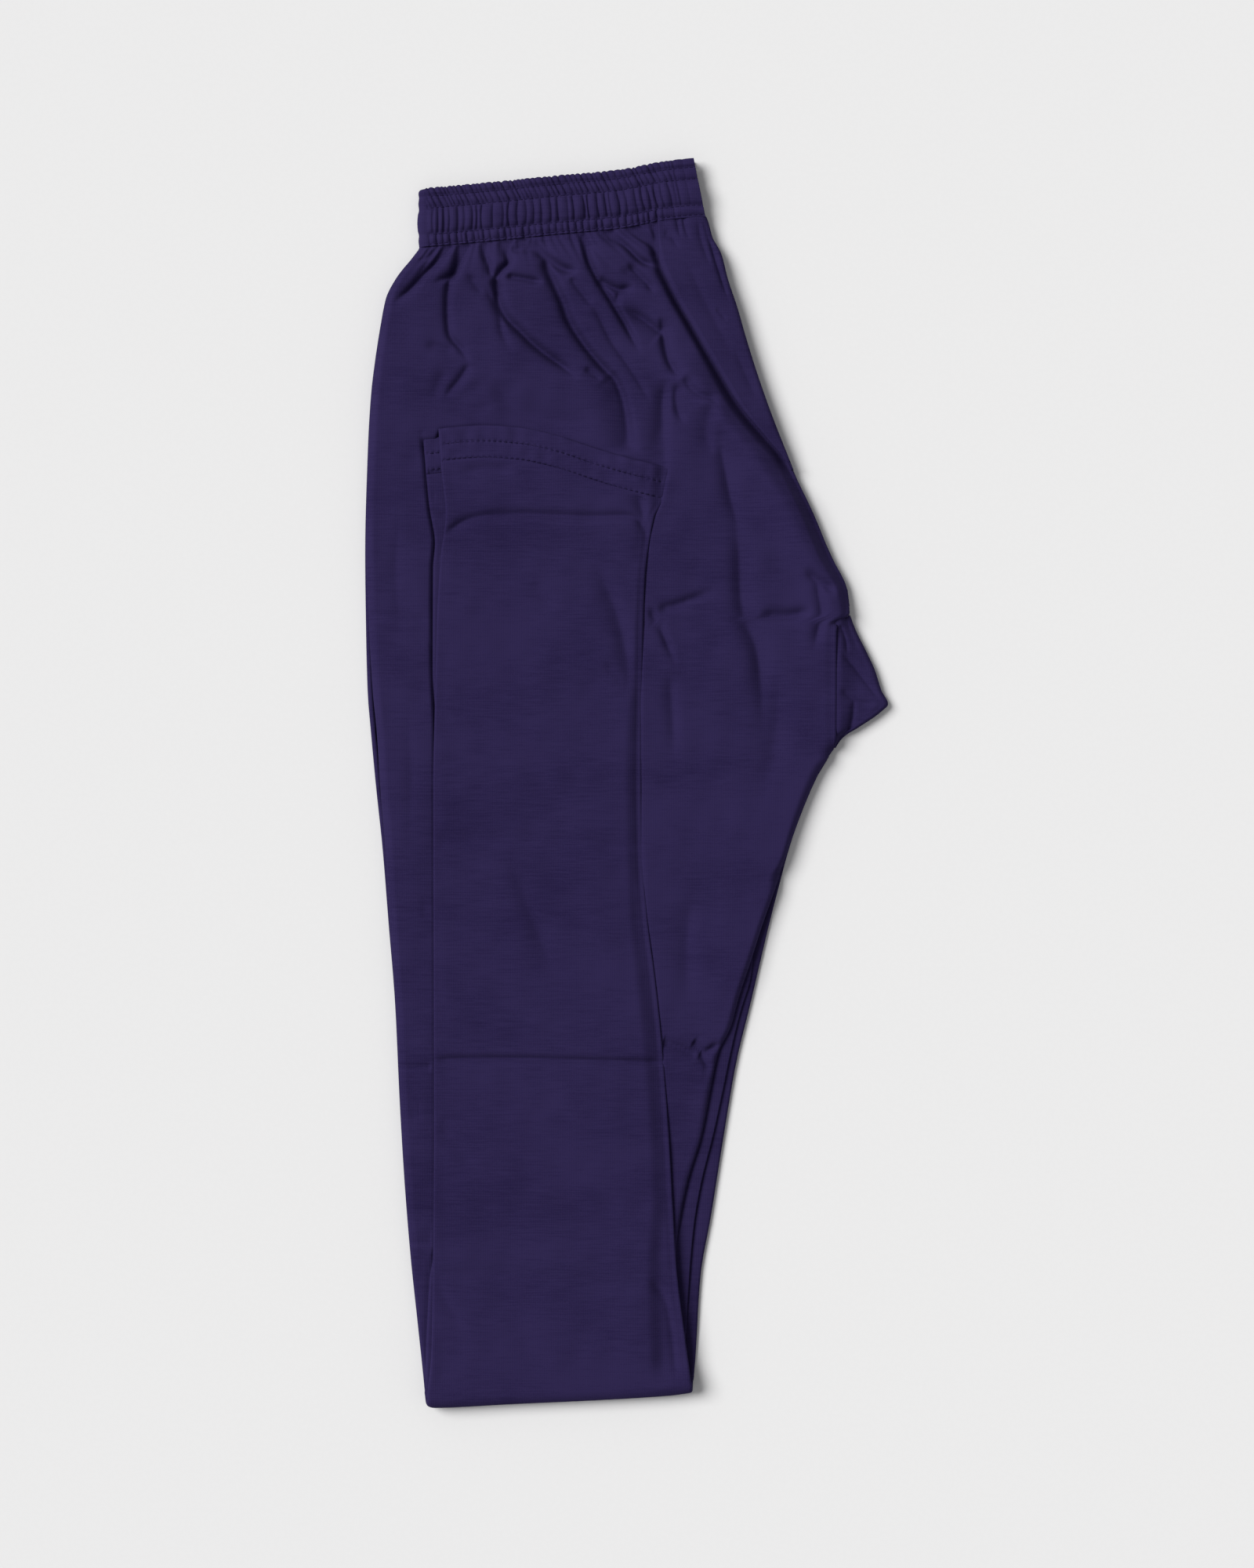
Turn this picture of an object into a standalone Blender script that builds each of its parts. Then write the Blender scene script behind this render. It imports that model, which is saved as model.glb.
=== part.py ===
"""Churidar trousers in plain stretch jersey, folded in half leg on leg, then folded up at the knee.

They lie flat: X runs across them, Y from the knee fold up to the waist, Z up from the surface.
The leg on the floor comes round the knee fold and its calf ends as the top panel.
"""

import math

import bpy
import numpy as np

MM = 0.001

# Cloth and how it is packed
PLY = 1.2 * MM
GAP = 0.3 * MM
SEAM_GAP = 0.6 * MM
ROLL_RADIUS = 0.85 * MM
ROLL_REACH = 1.0 * MM
LEAST_DEPTH = 0.01 * MM

# Heights of the middle of each wall above the surface
FLOOR_PLY = PLY / 2
THIGH_PLY = 5.6 * MM
CALF_PLY = 12.0 * MM
BAND_PLY = 7.4 * MM
FLAP_PLY = 9.0 * MM
THIGH_PUFF = 1.5 * MM
PUFF_AT_KNEE = 0.35

# How far the hidden ends and sides stay inside the outline
THIGH_END = 8 * MM
UNDER_CALF_END = 9 * MM
LAYERS_END = 10 * MM
LAYERS_TOP = 3 * MM
LAYERS_SIDE = 4.2 * MM
LAYERS_AT_GUSSET = 110 * MM
LAYERS_OVER_RETURN = 1.8 * MM
FLOOR_RETURN = 17 * MM
SHOULDER = 3.4 * MM

# The cut
BAND_DEPTH = 30.6 * MM
BAND_LEFT = -110.2 * MM
BAND_RIGHT = 35.5 * MM
BAND_SLANT = 6.2 * MM
BAND_LEAN = 0.9 * MM
BAND_LAYERS_TOP = 5.6 * MM
BAND_LAYERS_SIDE = 6.2 * MM
GATHERS = 42
GATHERED_SHARE = 0.87
HEM_DEPTH = 19.0 * MM
HEM_STEP = 4 * MM
GUSSET_SEAM = 112.0 * MM
GUSSET_ROUNDNESS = 0.32
FLAP_FALL = 1.7 * MM
FLAP_SIDE_RADIUS = 1.65 * MM
FLAP_SIDE_REACH = 0.7 * MM

# Where each piece is cut into sections, in millimetres up the trousers
FLOOR_ROWS = (295, 270, 240, 195, 143, 118, 98, 89, 79, 50, 24, 14, 0, -34, -75, -117, -175, -240, -290, -318)
CALF_ROWS = (-321, -290, -270, -263, -256, -225, -185, -153, -147, -141, -100, -60, -39, -33, -27, 10, 60, 105,
             128, 137, 143, 150, 168)
THIGH_ROWS = (295, 288, 280, 271, 262, 253, 244, 235, 226, 217, 208, 199, 190, 181, 172, 162, 152, 142, 131, 120,
              109, 99, 92, 86, 78, 66, 50, 34, 22, 15, 6, -8, -24, -45, -70, -95, -118, -130, -143, -160, -187,
              -215, -246, -290, -318)
LAYER_ROWS = (290, 270, 240, 210, 180, 150, 120, 98, 88, 60, 28, 14, 0, -30, -60, -80, -100, -125, -145, -170,
              -200, -235, -265, -300, -318)
UNDER_CALF_ROWS = (160, 155, 146, 127, 114, 61, 20, -60, -140, -200, -240, -255, -268, -300, -315)
GUSSET_ROWS = (83.3, 74, 66, 57, 49, 45, 42, 39, 36, 32, 29.5)
FLAP_ROWS = (296, 285, 272, 262, 252, 241, 230, 219, 209, 200, 192, 186)
HEM_SHARES = (0, 0.15, 0.5, 0.85, 1)
BAND_LAYER_SHARES = (0.1, 0.14, 0.4, 0.7, 0.94, 0.97)

# Columns between the rolled sides, and the steps of a rounded edge in degrees
FLOOR_COLUMNS = 7
THIGH_COLUMNS = 17
HEM_COLUMNS = 9
FLAP_COLUMNS = 3
LAYER_COLUMNS = 6
HALF_TURN = (30, 60, 90, 120, 150)
HEM_TURN = (60, 120)
PLY_TURN = (-60, 0, 60)

JERSEY = (0.030, 0.021, 0.078, 1.0)
JERSEY_HIDDEN = (0.024, 0.017, 0.062, 1.0)
ELASTIC = (0.05, 0.045, 0.07, 1.0)


def table(columns, *rows):
    """A table given in millimetres, with its columns by name, in metres."""
    return {name: np.array(values, float) * MM for name, values in zip(columns.split(), zip(*rows))}


def reader(rows, column, against="y"):
    """A curve through one column of a table that never overshoots its rows."""
    order = np.argsort(rows[against])
    at = rows[against][order]
    value = rows[column][order]
    step = np.diff(value) / np.diff(at)
    slope = np.zeros(len(at))
    same_way = step[:-1] * step[1:] > 0
    slope[1:-1][same_way] = (2 * step[:-1] * step[1:])[same_way] / (step[:-1] + step[1:])[same_way]
    slope[0] = step[0]
    slope[-1] = step[-1]

    def read(where):
        where = np.clip(where, at[0], at[-1])
        i = np.clip(np.searchsorted(at, where) - 1, 0, len(at) - 2)
        width = at[i + 1] - at[i]
        t = (where - at[i]) / width
        return (
            value[i] * (1 + 2 * t) * (1 - t) ** 2
            + value[i + 1] * (3 - 2 * t) * t**2
            + (slope[i] * (1 - t) - slope[i + 1] * t) * t * (1 - t) * width
        )

    return read


def ease(low, high, value):
    """0 below low, 1 above high, smooth between."""
    t = np.clip((value - low) / (high - low), 0, 1)
    return t * t * (3 - 2 * t)


# Outlines, in millimetres from the middle of the trousers as they lie
FLOOR_LEG_LEFT = table(
    "y x",
    (286, -109.3),
    (280, -112.3),
    (277, -115.2),
    (267, -123),
    (257, -128),
    (246, -130.2),
    (226, -133.4),
    (205, -135.9),
    (174, -137.6),
    (122, -138.95),
    (80, -138.4),
    (49, -137.6),
    (28, -135.9),
    (-3, -133),
    (-34, -129.7),
    (-75, -126.4),
    (-117, -123),
    (-168, -120.6),
    (-210, -118.1),
    (-252, -114.7),
    (-283, -111.4),
    (-318, -107.7),
    (-331, -106.5),
)
FLOOR_LEG_RIGHT = table(
    "y x",
    (296, 41.7),
    (290, 45),
    (280, 50.4),
    (267, 53.7),
    (252, 58.7),
    (236, 63.3),
    (215, 69.9),
    (195, 77),
    (174, 85.3),
    (163, 89.8),
    (143, 99.4),
    (122, 108.1),
    (112, 113.1),
    (101, 117.7),
    (89.5, 118.6),
    (84, 111.8),
    (80, 111.2),
    (22, 111.2),
    (18, 110.2),
    (8, 103.5),
    (-13, 94),
    (-34, 86.5),
    (-54, 81.1),
    (-75, 75.7),
    (-117, 65.8),
    (-148, 58.3),
    (-189, 51.3),
    (-231, 44.6),
    (-262, 39.2),
    (-303, 36.7),
    (-323, 35.1),
)
# How far the upper leg stays inside the floor leg on the left
UPPER_LEG_INSET = table("y left", (296, 0.4), (150, 0.4), (88, 1.7), (28, 3.3), (0, 2.5), (-56, 1.2), (-120, 0.4),
                        (-300, 0.4), (-331, 3.0))
UPPER_LEG_RIGHT = table(
    "y x",
    (296, 37.2),
    (280, 45.9),
    (252, 54.2),
    (215, 65.4),
    (187, 75.2),
    (180, 81.4),
    (176, 83.8),
    (167, 87.6),
    (143, 99),
    (122, 107.7),
    (101, 117.3),
    (89.5, 118.2),
    (84, 111.6),
    (80, 111.0),
    (22, 111.0),
    (18, 109.8),
    (8, 103.1),
    (-13, 93.6),
    (-34, 86.1),
    (-54, 79.5),
    (-75, 72),
    (-92, 66.6),
    (-116, 58.7),
    (-128, 55.6),
    (-143, 48.5),
    (-157, 45.4),
    (-187, 39.6),
    (-210, 32.6),
    (-230, 28.4),
    (-246, 26.4),
    (-263, 26),
    (-300, 28),
    (-323, 30),
)
# The second layer's edge, under the upper leg's at the lower right
SECOND_EDGE = table(
    "y x",
    (-54, 76),
    (-71, 72.5),
    (-102, 66.6),
    (-122, 60.4),
    (-143, 55.4),
    (-161, 51.7),
    (-186, 46.3),
    (-213, 39.6),
    (-235, 35.9),
    (-263, 33.4),
    (-323, 30),
)
CALF_EDGES_LEFT = table(
    "y x",
    (188, -99.6),
    (167, -98.1),
    (142, -95.7),
    (121, -98.1),
    (88, -100.2),
    (35, -101.5),
    (1, -102.3),
    (-183, -101.9),
    (-249, -102.3),
    (-300, -103.2),
    (-331, -106.5),
)
CALF_EDGES_RIGHT = table(
    "y x",
    (170, 23.4),
    (165, 22.6),
    (149, 18.9),
    (141, 14.9),
    (128, 12.2),
    (107, 9.8),
    (61, 8.5),
    (1, 7.8),
    (-34, 8.4),
    (-71, 11),
    (-103, 15.1),
    (-135, 18.5),
    (-183, 22.2),
    (-221, 24.3),
    (-256, 26.4),
    (-290, 30.5),
    (-323, 35.1),
)
UNDER_CALF_LEFT = table(
    "y x",
    (184, -107.9),
    (163, -106.1),
    (146, -104.4),
    (127, -101.5),
    (114, -102.5),
    (61, -102.7),
    (29, -101.0),
    (-240, -100.6),
    (-263, -104.4),
    (-317, -106.4),
    (-331, -106.4),
)
UNDER_CALF_RIGHT = table("y x", (184, 16), (0, 0.2), (-71, 2.3), (-103, 5.6), (-144, 9.8), (-183, 12.7),
                         (-221, 13.9), (-253, 11.8), (-331, 14))
GUSSET_POINT = table(
    "y x",
    (86, 119.8),
    (80, 122.2),
    (70, 127.2),
    (60, 131.8),
    (49, 135.2),
    (42, 138.8),
    (38, 135.2),
    (29, 122.2),
    (25, 116.4),
)
FLAP_EDGE = table(
    "y x",
    (300, 16.4),
    (278, 17.2),
    (262, 23.4),
    (241, 35.1),
    (219, 47.9),
    (200, 59.6),
    (180, 75),
)
# Lines that run across: the waist seam, the hem of the calf and the knee fold
BAND_TOP = table("x y", (-111, 314.4), (-72, 317.9), (-35, 321.6), (-4, 324.5), (21, 329.1), (36, 330.5))
HEM_LINE = table("x y", (-108, 186.5), (-75, 189.2), (-57, 188), (-37, 183.8), (-17, 177.2), (0, 172.2), (30, 165))
KNEE_FOLD = table("x y", (-112, -326), (-102, -330.95), (-66, -329.2), (21, -324.6), (40, -322))

# Soft troughs between the puffed folds of the hip and crotch: start, bend, end, width
TROUGHS = table(
    "x0 y0 x1 y1 x2 y2 width",
    (-93, 284, -108, 268, -124, 253, 4),
    (-84, 285, -95, 255, -82, 221, 6),
    (-69, 268, -64, 246, -26, 214, 5),
    (-55, 285, -39, 276, -26, 271, 5),
    (-41, 275, -22, 232, 2, 173, 6),
    (-23, 285, -6, 253, 8, 226, 5),
    (-10, 291, 4, 280, 17, 273, 4),
    (2, 250, 19, 236, 29, 190, 5),
    (33, 213, 41, 188, 55, 141, 6),
    (52, 158, 60, 95, 72, 20, 8),
    (102, 97, 104, 88, 98, 72, 5),
    (71, 89, 83, 90, 98, 90, 5),
    (18, 92, 32, 97, 47, 101, 4),
)
# Creases that run across the top calf panel: height at each side, depth, width
CALF_CREASES = table(
    "left right depth width",
    (141, 135, 0.5, 3.5),
    (-30, -35, 0.4, 4),
    (-146, -148, 0.6, 3.5),
    (-260, -266, 0.5, 5),
)

knee_fold = reader(KNEE_FOLD, "y", "x")
hem_line = reader(HEM_LINE, "y", "x")
band_top = reader(BAND_TOP, "y", "x")
floor_leg_left = reader(FLOOR_LEG_LEFT, "x")
floor_leg_right = reader(FLOOR_LEG_RIGHT, "x")
upper_leg_inset = reader(UPPER_LEG_INSET, "left")
upper_leg_right = reader(UPPER_LEG_RIGHT, "x")
second_edge = reader(SECOND_EDGE, "x")
calf_left = reader(CALF_EDGES_LEFT, "x")
calf_right = reader(CALF_EDGES_RIGHT, "x")
under_calf_left = reader(UNDER_CALF_LEFT, "x")
under_calf_right = reader(UNDER_CALF_RIGHT, "x")
gusset_point = reader(GUSSET_POINT, "x")
flap_edge = reader(FLAP_EDGE, "x")


def waist_seam(x):
    return band_top(x) - BAND_DEPTH - SEAM_GAP


def calf_seam(x):
    return hem_line(x) - HEM_DEPTH - SEAM_GAP


def under_hem_line(x):
    return hem_line(x) - HEM_STEP


def upper_leg_left(y):
    return floor_leg_left(y) + upper_leg_inset(y)


def dyed(name, colour):
    material = bpy.data.materials.new(name)
    material.use_nodes = True
    shader = material.node_tree.nodes["Principled BSDF"]
    shader.inputs["Base Color"].default_value = colour
    shader.inputs["Roughness"].default_value = 0.9
    shader.inputs["Metallic"].default_value = 0.0
    return material


def placed(name, points, faces, colour):
    """An object from points and faces, shaded smooth."""
    mesh = bpy.data.meshes.new(name)
    mesh.from_pydata([tuple(p) for p in points], [], faces)
    mesh.shade_smooth()
    mesh.materials.append(dyed(name, colour))
    obj = bpy.data.objects.new(name, mesh)
    bpy.context.scene.collection.objects.link(obj)
    return obj


def cloth(name, grid, colour, closed=False):
    """A wall of cloth on a grid of points, as thick as one ply; closed joins the last column to the first."""
    rows, columns = grid.shape[:2]
    across = columns if closed else columns - 1
    faces = [
        (
            i * columns + j,
            i * columns + (j + 1) % columns,
            (i + 1) * columns + (j + 1) % columns,
            (i + 1) * columns + j,
        )
        for i in range(rows - 1)
        for j in range(across)
    ]
    obj = placed(name, grid.reshape(-1, 3), faces, colour)
    wall = obj.modifiers.new("wall", "SOLIDIFY")
    wall.thickness = PLY
    wall.offset = 0
    wall.use_even_offset = True
    return obj


def edge_point(low, high, side, share):
    """Where a side of a panel crosses the line at this share of the way from low to high."""
    y = 0.0
    for _ in range(12):
        x = side(y)
        y = low(x) * (1 - share) + high(x) * share
    return x, y


def rolled_edge(roll, reach, radius=ROLL_RADIUS):
    """A turned edge from its start to its free end: how far in from the outline, and how deep inside."""
    turn = np.array([0, 1 / 3, 2 / 3, 1]) * math.pi
    if roll > 0.01:
        out = np.sin(roll * turn) * radius / roll
        deep = (1 - np.cos(roll * turn)) * radius / roll
    else:
        out = turn * radius
        deep = turn * 0
    out = np.append(out, out[-1] + math.cos(roll * math.pi) * reach)
    deep = np.append(deep, deep[-1] + math.sin(roll * math.pi) * reach)
    shrink = min(1.0, 2 * radius / max(deep.max(), LEAST_DEPTH))
    out = out * shrink
    deep = deep * shrink
    return out.max() - out + PLY / 2, deep


def section(left, right, left_roll, right_roll, left_reach, right_reach, middle):
    """One section across a flattened tube of cloth: x and depth to the inside, from one free end to the other."""
    left_in, left_deep = rolled_edge(left_roll, left_reach)
    right_in, right_deep = rolled_edge(right_roll, right_reach)
    first = left + left_in[0]
    last = right - right_in[0]
    flat = first + (last - first) * np.linspace(0, 1, middle + 2)[1:-1]
    x = np.concatenate([left + left_in[::-1], flat, right - right_in])
    deep = np.concatenate([left_deep[::-1], flat * 0, right_deep])
    return x, deep


def distance_to_path(x, y, ends):
    """How far each point is from a path of two straight runs."""
    nearest = np.full(np.shape(x), np.inf)
    for (x0, y0), (x1, y1) in zip(ends[:-1], ends[1:]):
        run = (x1 - x0) ** 2 + (y1 - y0) ** 2
        t = np.clip(((x - x0) * (x1 - x0) + (y - y0) * (y1 - y0)) / run, 0, 1)
        nearest = np.minimum(nearest, np.hypot(x - x0 - t * (x1 - x0), y - y0 - t * (y1 - y0)))
    return nearest


def thigh_relief(x, y):
    """How far the thigh's top ply stands up: puffed folds with troughs between, flat under what lies on it."""
    clear_of_calf = np.maximum(x - calf_right(y), np.maximum(y - hem_line(x), under_calf_left(y) - x))
    open_cloth = ease(3 * MM, 14 * MM, clear_of_calf)
    open_cloth = open_cloth * np.where(y > 170 * MM, ease(0, 9 * MM, flap_edge(y) - x), 1)
    open_cloth = open_cloth * ease(3 * MM, 16 * MM, x - upper_leg_left(y))
    open_cloth = open_cloth * ease(3 * MM, 16 * MM, upper_leg_right(y) - x)
    puffed = PUFF_AT_KNEE + (1 - PUFF_AT_KNEE) * ease(-60 * MM, 120 * MM, y)
    trough = np.zeros(np.shape(x))
    for k in range(len(TROUGHS["x0"])):
        ends = [(TROUGHS["x%d" % n][k], TROUGHS["y%d" % n][k]) for n in range(3)]
        trough = np.maximum(trough, np.exp(-((distance_to_path(x, y, ends) / TROUGHS["width"][k]) ** 2)))
    return THIGH_PUFF * open_cloth * puffed * (1 - trough)


def calf_relief(x, y):
    """How far the top calf panel sinks at its creases."""
    across = np.clip((x - calf_left(y)) / (calf_right(y) - calf_left(y)), 0, 1)
    sunk = np.zeros(np.shape(x))
    for left, right, depth, width in zip(*(CALF_CREASES[name] for name in ("left", "right", "depth", "width"))):
        line = left + (right - left) * across
        sunk = sunk - depth * np.exp(-(((y - line) / width) ** 2))
    inside = np.minimum(x - calf_left(y), calf_right(y) - x)
    return sunk * ease(2 * MM, 8 * MM, inside)



def share_up(height, rows):
    """How far a section is from the lowest one to the highest."""
    return (height - min(rows)) / (max(rows) - min(rows))


def beside_gusset(y):
    """1 along the seam where the gusset is let in."""
    return ease(10 * MM, 21 * MM, y) * (1 - ease(82 * MM, 95 * MM, y))


def floor_leg_points():
    """The leg on the floor: out from the waist along the floor, round the knee fold, back up to the hem seam."""
    fold_radius = (CALF_PLY - FLOOR_PLY) / 2
    rows = []

    def turning_line(x):
        return knee_fold(x) + fold_radius + PLY / 2

    for height in FLOOR_ROWS:
        share = share_up(height, FLOOR_ROWS)
        xl, _ = edge_point(turning_line, waist_seam, floor_leg_left, share)
        xr, yr = edge_point(turning_line, waist_seam, floor_leg_right, share)
        returned = FLOOR_RETURN * (1 - ease(-125 * MM, -60 * MM, yr)) * ease(0, 0.06, share)
        x, deep = section(xl, xr, 1, 1 - beside_gusset(yr), ROLL_REACH, ROLL_REACH + returned, FLOOR_COLUMNS)
        y = turning_line(x) * (1 - share) + waist_seam(x) * share
        rows.append(np.stack([x, y, FLOOR_PLY + deep], 1))
    for turn in HALF_TURN:
        angle = math.radians(turn)
        share = turn / 180
        y = turning_line(0)
        xl = floor_leg_left(y) * (1 - share) + calf_left(y) * share
        xr = floor_leg_right(y) * (1 - share) + calf_right(y) * share
        x, deep = section(xl, xr, 1, 1, ROLL_REACH, ROLL_REACH, FLOOR_COLUMNS)
        radius = fold_radius - deep
        y = turning_line(x) - radius * math.sin(angle)
        z = FLOOR_PLY + fold_radius - radius * math.cos(angle)
        rows.append(np.stack([x, y, z], 1))
    for height in CALF_ROWS:
        share = share_up(height, CALF_ROWS)
        xl, _ = edge_point(turning_line, calf_seam, calf_left, share)
        xr, _ = edge_point(turning_line, calf_seam, calf_right, share)
        x, deep = section(xl, xr, 1, 1, ROLL_REACH, ROLL_REACH, FLOOR_COLUMNS)
        y = turning_line(x) * (1 - share) + calf_seam(x) * share
        z = CALF_PLY + calf_relief(x, y) - deep
        rows.append(np.stack([x, y, z], 1))
    return np.array(rows)


def upper_leg_points():
    """The upper leg's thigh and hip, with its sides rolled under where they are not sewn on or laid over."""
    rows = []

    def end_line(x):
        return knee_fold(x) + THIGH_END

    def right_roll(y):
        under_flap = ease(172 * MM, 184 * MM, y)
        over_floor_leg = 1 - ease(-58 * MM, -26 * MM, y)
        return 1 - max(beside_gusset(y), under_flap, over_floor_leg)

    for height in THIGH_ROWS:
        share = share_up(height, THIGH_ROWS)
        xl, _ = edge_point(end_line, waist_seam, upper_leg_left, share)
        xr, yr = edge_point(end_line, waist_seam, upper_leg_right, share)
        x, deep = section(xl, xr, 1, right_roll(yr), ROLL_REACH, ROLL_REACH, THIGH_COLUMNS)
        y = end_line(x) * (1 - share) + waist_seam(x) * share
        z = THIGH_PLY - deep + np.where(deep < LEAST_DEPTH, thigh_relief(x, y), 0)
        rows.append(np.stack([x, y, z], 1))
    return np.array(rows)


def layered_side(low, high, plies):
    """The rounded edges of plies seen from the side: how far in, and the height, from the bottom up."""
    ply = (high - low) / plies
    inward = []
    height = []
    for k in range(plies):
        for turn in PLY_TURN:
            angle = math.radians(turn)
            inward.append((1 - math.cos(angle)) * ply / 2)
            height.append(low + ply * (k + 0.5) + math.sin(angle) * ply / 2)
    return np.array(inward), np.array(height)


def layered_solid(name, rows, plies, colour):
    """Hidden plies as one rounded solid; each row gives both ends of a section, its underside and its top."""
    rings = []
    for k, row in enumerate(rows):
        xl, yl, xr, yr, low_left, low_right, high_edge, high_middle = row
        at_end = k in (0, len(rows) - 1)
        round_off = (high_edge - low_left) * 0.3 if at_end else 0.0
        left_in, left_z = layered_side(low_left + round_off, high_edge - round_off, plies)
        right_in, right_z = layered_side(low_right + min(round_off, 0.2 * MM), high_edge - round_off, plies)
        along = np.linspace(0, 1, LAYER_COLUMNS)
        xs = xl + SHOULDER + (xr - xl - 2 * SHOULDER) * along
        ys = yl + (yr - yl) * along
        rise = np.where(at_end, 0, np.sin(along * math.pi).clip(0, 1) ** 0.5)
        top = high_edge - round_off + (high_middle - high_edge) * rise
        under = low_left + round_off + (low_right - low_left) * ease(0.35, 0.6, along)
        ring = [(x, y, z) for x, y, z in zip(xs, ys, under)]
        ring += [(xr - i, yr, z) for i, z in zip(right_in, right_z)]
        ring += [(x, y, z) for x, y, z in zip(xs[::-1], ys[::-1], top[::-1])]
        ring += [(xl + i, yl, z) for i, z in zip(left_in[::-1], left_z[::-1])]
        rings.append(ring)
    count = len(rings)
    size = len(rings[0])
    points = [p for ring in rings for p in ring]
    faces = []
    for i in range(count - 1):
        for j in range(size):
            k = (j + 1) % size
            faces.append((i * size + j, i * size + k, (i + 1) * size + k, (i + 1) * size + j))
    faces.append(tuple(range(size - 1, -1, -1)))
    faces.append(tuple((count - 1) * size + j for j in range(size)))
    return placed(name, points, faces, colour)


def thigh_layers():
    """The inner plies of both thighs; at the lower right the second layer's edge stands out over the floor leg."""
    rows = []
    low = FLOOR_PLY + PLY / 2 + GAP
    high = THIGH_PLY - PLY / 2 - GAP

    def end_line(x):
        return knee_fold(x) + LAYERS_END

    def top_line(x):
        return waist_seam(x) - LAYERS_TOP

    for height in LAYER_ROWS:
        share = share_up(height, LAYER_ROWS)
        shown = 1 - ease(-115 * MM, -66 * MM, height * MM)

        def right_side(y):
            inner = min(upper_leg_right(y), floor_leg_right(y), LAYERS_AT_GUSSET) - LAYERS_SIDE
            return inner * (1 - shown) + second_edge(y) * shown

        xl, yl = edge_point(end_line, top_line, upper_leg_left, share)
        xr, yr = edge_point(end_line, top_line, right_side, share)
        over_return = LAYERS_OVER_RETURN * (1 - ease(-60 * MM, -20 * MM, height * MM))
        rows.append((xl + LAYERS_SIDE, yl, xr, yr, low, low + over_return, high, high))
    return layered_solid("thigh_layers", rows, 2, JERSEY_HIDDEN)


def upper_calf():
    """The upper leg's calf under the top panel, two plies, with the inside of the top panel's tube above it."""
    rows = []
    low = THIGH_PLY + PLY / 2 + GAP
    high = CALF_PLY - 2 * ROLL_RADIUS - PLY / 2 - GAP - 0.1 * MM
    filled = CALF_PLY - PLY / 2 - 0.9 * MM

    def end_line(x):
        return knee_fold(x) + UNDER_CALF_END

    def top_line(x):
        return under_hem_line(x) - HEM_DEPTH - SEAM_GAP

    for height in UNDER_CALF_ROWS:
        share = share_up(height, UNDER_CALF_ROWS)
        xl, yl = edge_point(end_line, top_line, under_calf_left, share)
        xr, yr = edge_point(end_line, top_line, under_calf_right, share)
        inside = ease(-312, -300, height) * (1 - ease(140, 150, height))
        rows.append((xl, yl, xr, yr, low, low, high, high + (filled - high) * inside))
    return layered_solid("upper_calf", rows, 2, JERSEY)


def hem_points(line, left, right, height):
    """A turned-up leg end, sewn flat: a short tube pressed to two plies."""
    rows = []
    turn = np.radians(HEM_TURN)
    side_z = -ROLL_RADIUS * (1 - np.cos(turn))
    for share in HEM_SHARES:

        def across(x):
            return line(x) - HEM_DEPTH * share

        xl, _ = edge_point(across, across, left, 0)
        xr, _ = edge_point(across, across, right, 0)
        first = xl + ROLL_RADIUS + PLY / 2
        last = xr - ROLL_RADIUS - PLY / 2
        flat = np.linspace(first, last, HEM_COLUMNS)
        right_x = last + ROLL_RADIUS * np.sin(turn)
        left_x = first - ROLL_RADIUS * np.sin(turn)[::-1]
        x = np.concatenate([flat, right_x, flat[::-1], left_x])
        z = height + np.concatenate([flat * 0, side_z, flat * 0 - 2 * ROLL_RADIUS, side_z[::-1]])
        rows.append(np.stack([x, across(x), z], 1))
    return np.array(rows)


def gusset_points():
    """The gusset, folded on itself at its point: out from the leg seam, round, and back along the floor."""
    rows = []
    angles = np.radians(HALF_TURN)
    along = np.linspace(0, 1, 4)
    for height in GUSSET_ROWS:
        y = height * MM
        reach = gusset_point(y) - GUSSET_SEAM
        radius = min((THIGH_PLY - FLOOR_PLY) / 2, reach * GUSSET_ROUNDNESS)
        turn = gusset_point(y) - radius - PLY / 2
        top_x = GUSSET_SEAM + (turn - GUSSET_SEAM) * along
        top_z = THIGH_PLY - (THIGH_PLY - 2 * radius - FLOOR_PLY) * ease(0, 1, along)
        turn_x = turn + radius * np.sin(angles)
        turn_z = FLOOR_PLY + radius * (1 + np.cos(angles))
        x = np.concatenate([top_x, turn_x, top_x[::-1]])
        z = np.concatenate([top_z, turn_z, top_x * 0 + FLOOR_PLY])
        rows.append(np.stack([x, x * 0 + y, z], 1))
    return np.array(rows)


def flap_points():
    """The rise edge turned over: its left edge stands up in a soft fold, its right rolls down the side."""
    rows = []
    for height in FLAP_ROWS:
        yl = height * MM
        xl = flap_edge(yl)
        xr = floor_leg_right(yl) - GAP
        left_in, left_deep = rolled_edge(1, ROLL_REACH)
        right_in, right_deep = rolled_edge(1, FLAP_SIDE_REACH, FLAP_SIDE_RADIUS)
        first = xl + left_in[0]
        last = xr - right_in[0]
        flat = np.linspace(first, last, FLAP_COLUMNS + 2)[1:-1]
        x = np.concatenate([xl + left_in[::-1], flat, xr - right_in])
        deep = np.concatenate([left_deep[::-1], flat * 0, right_deep])
        across = np.clip((x - first) / max(last - first, MM), 0, 1)
        z = FLAP_PLY - FLAP_FALL * across - deep
        y = np.where(height == FLAP_ROWS[0], waist_seam(x), yl)
        rows.append(np.stack([x, y, z], 1))
    return np.array(rows)


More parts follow.
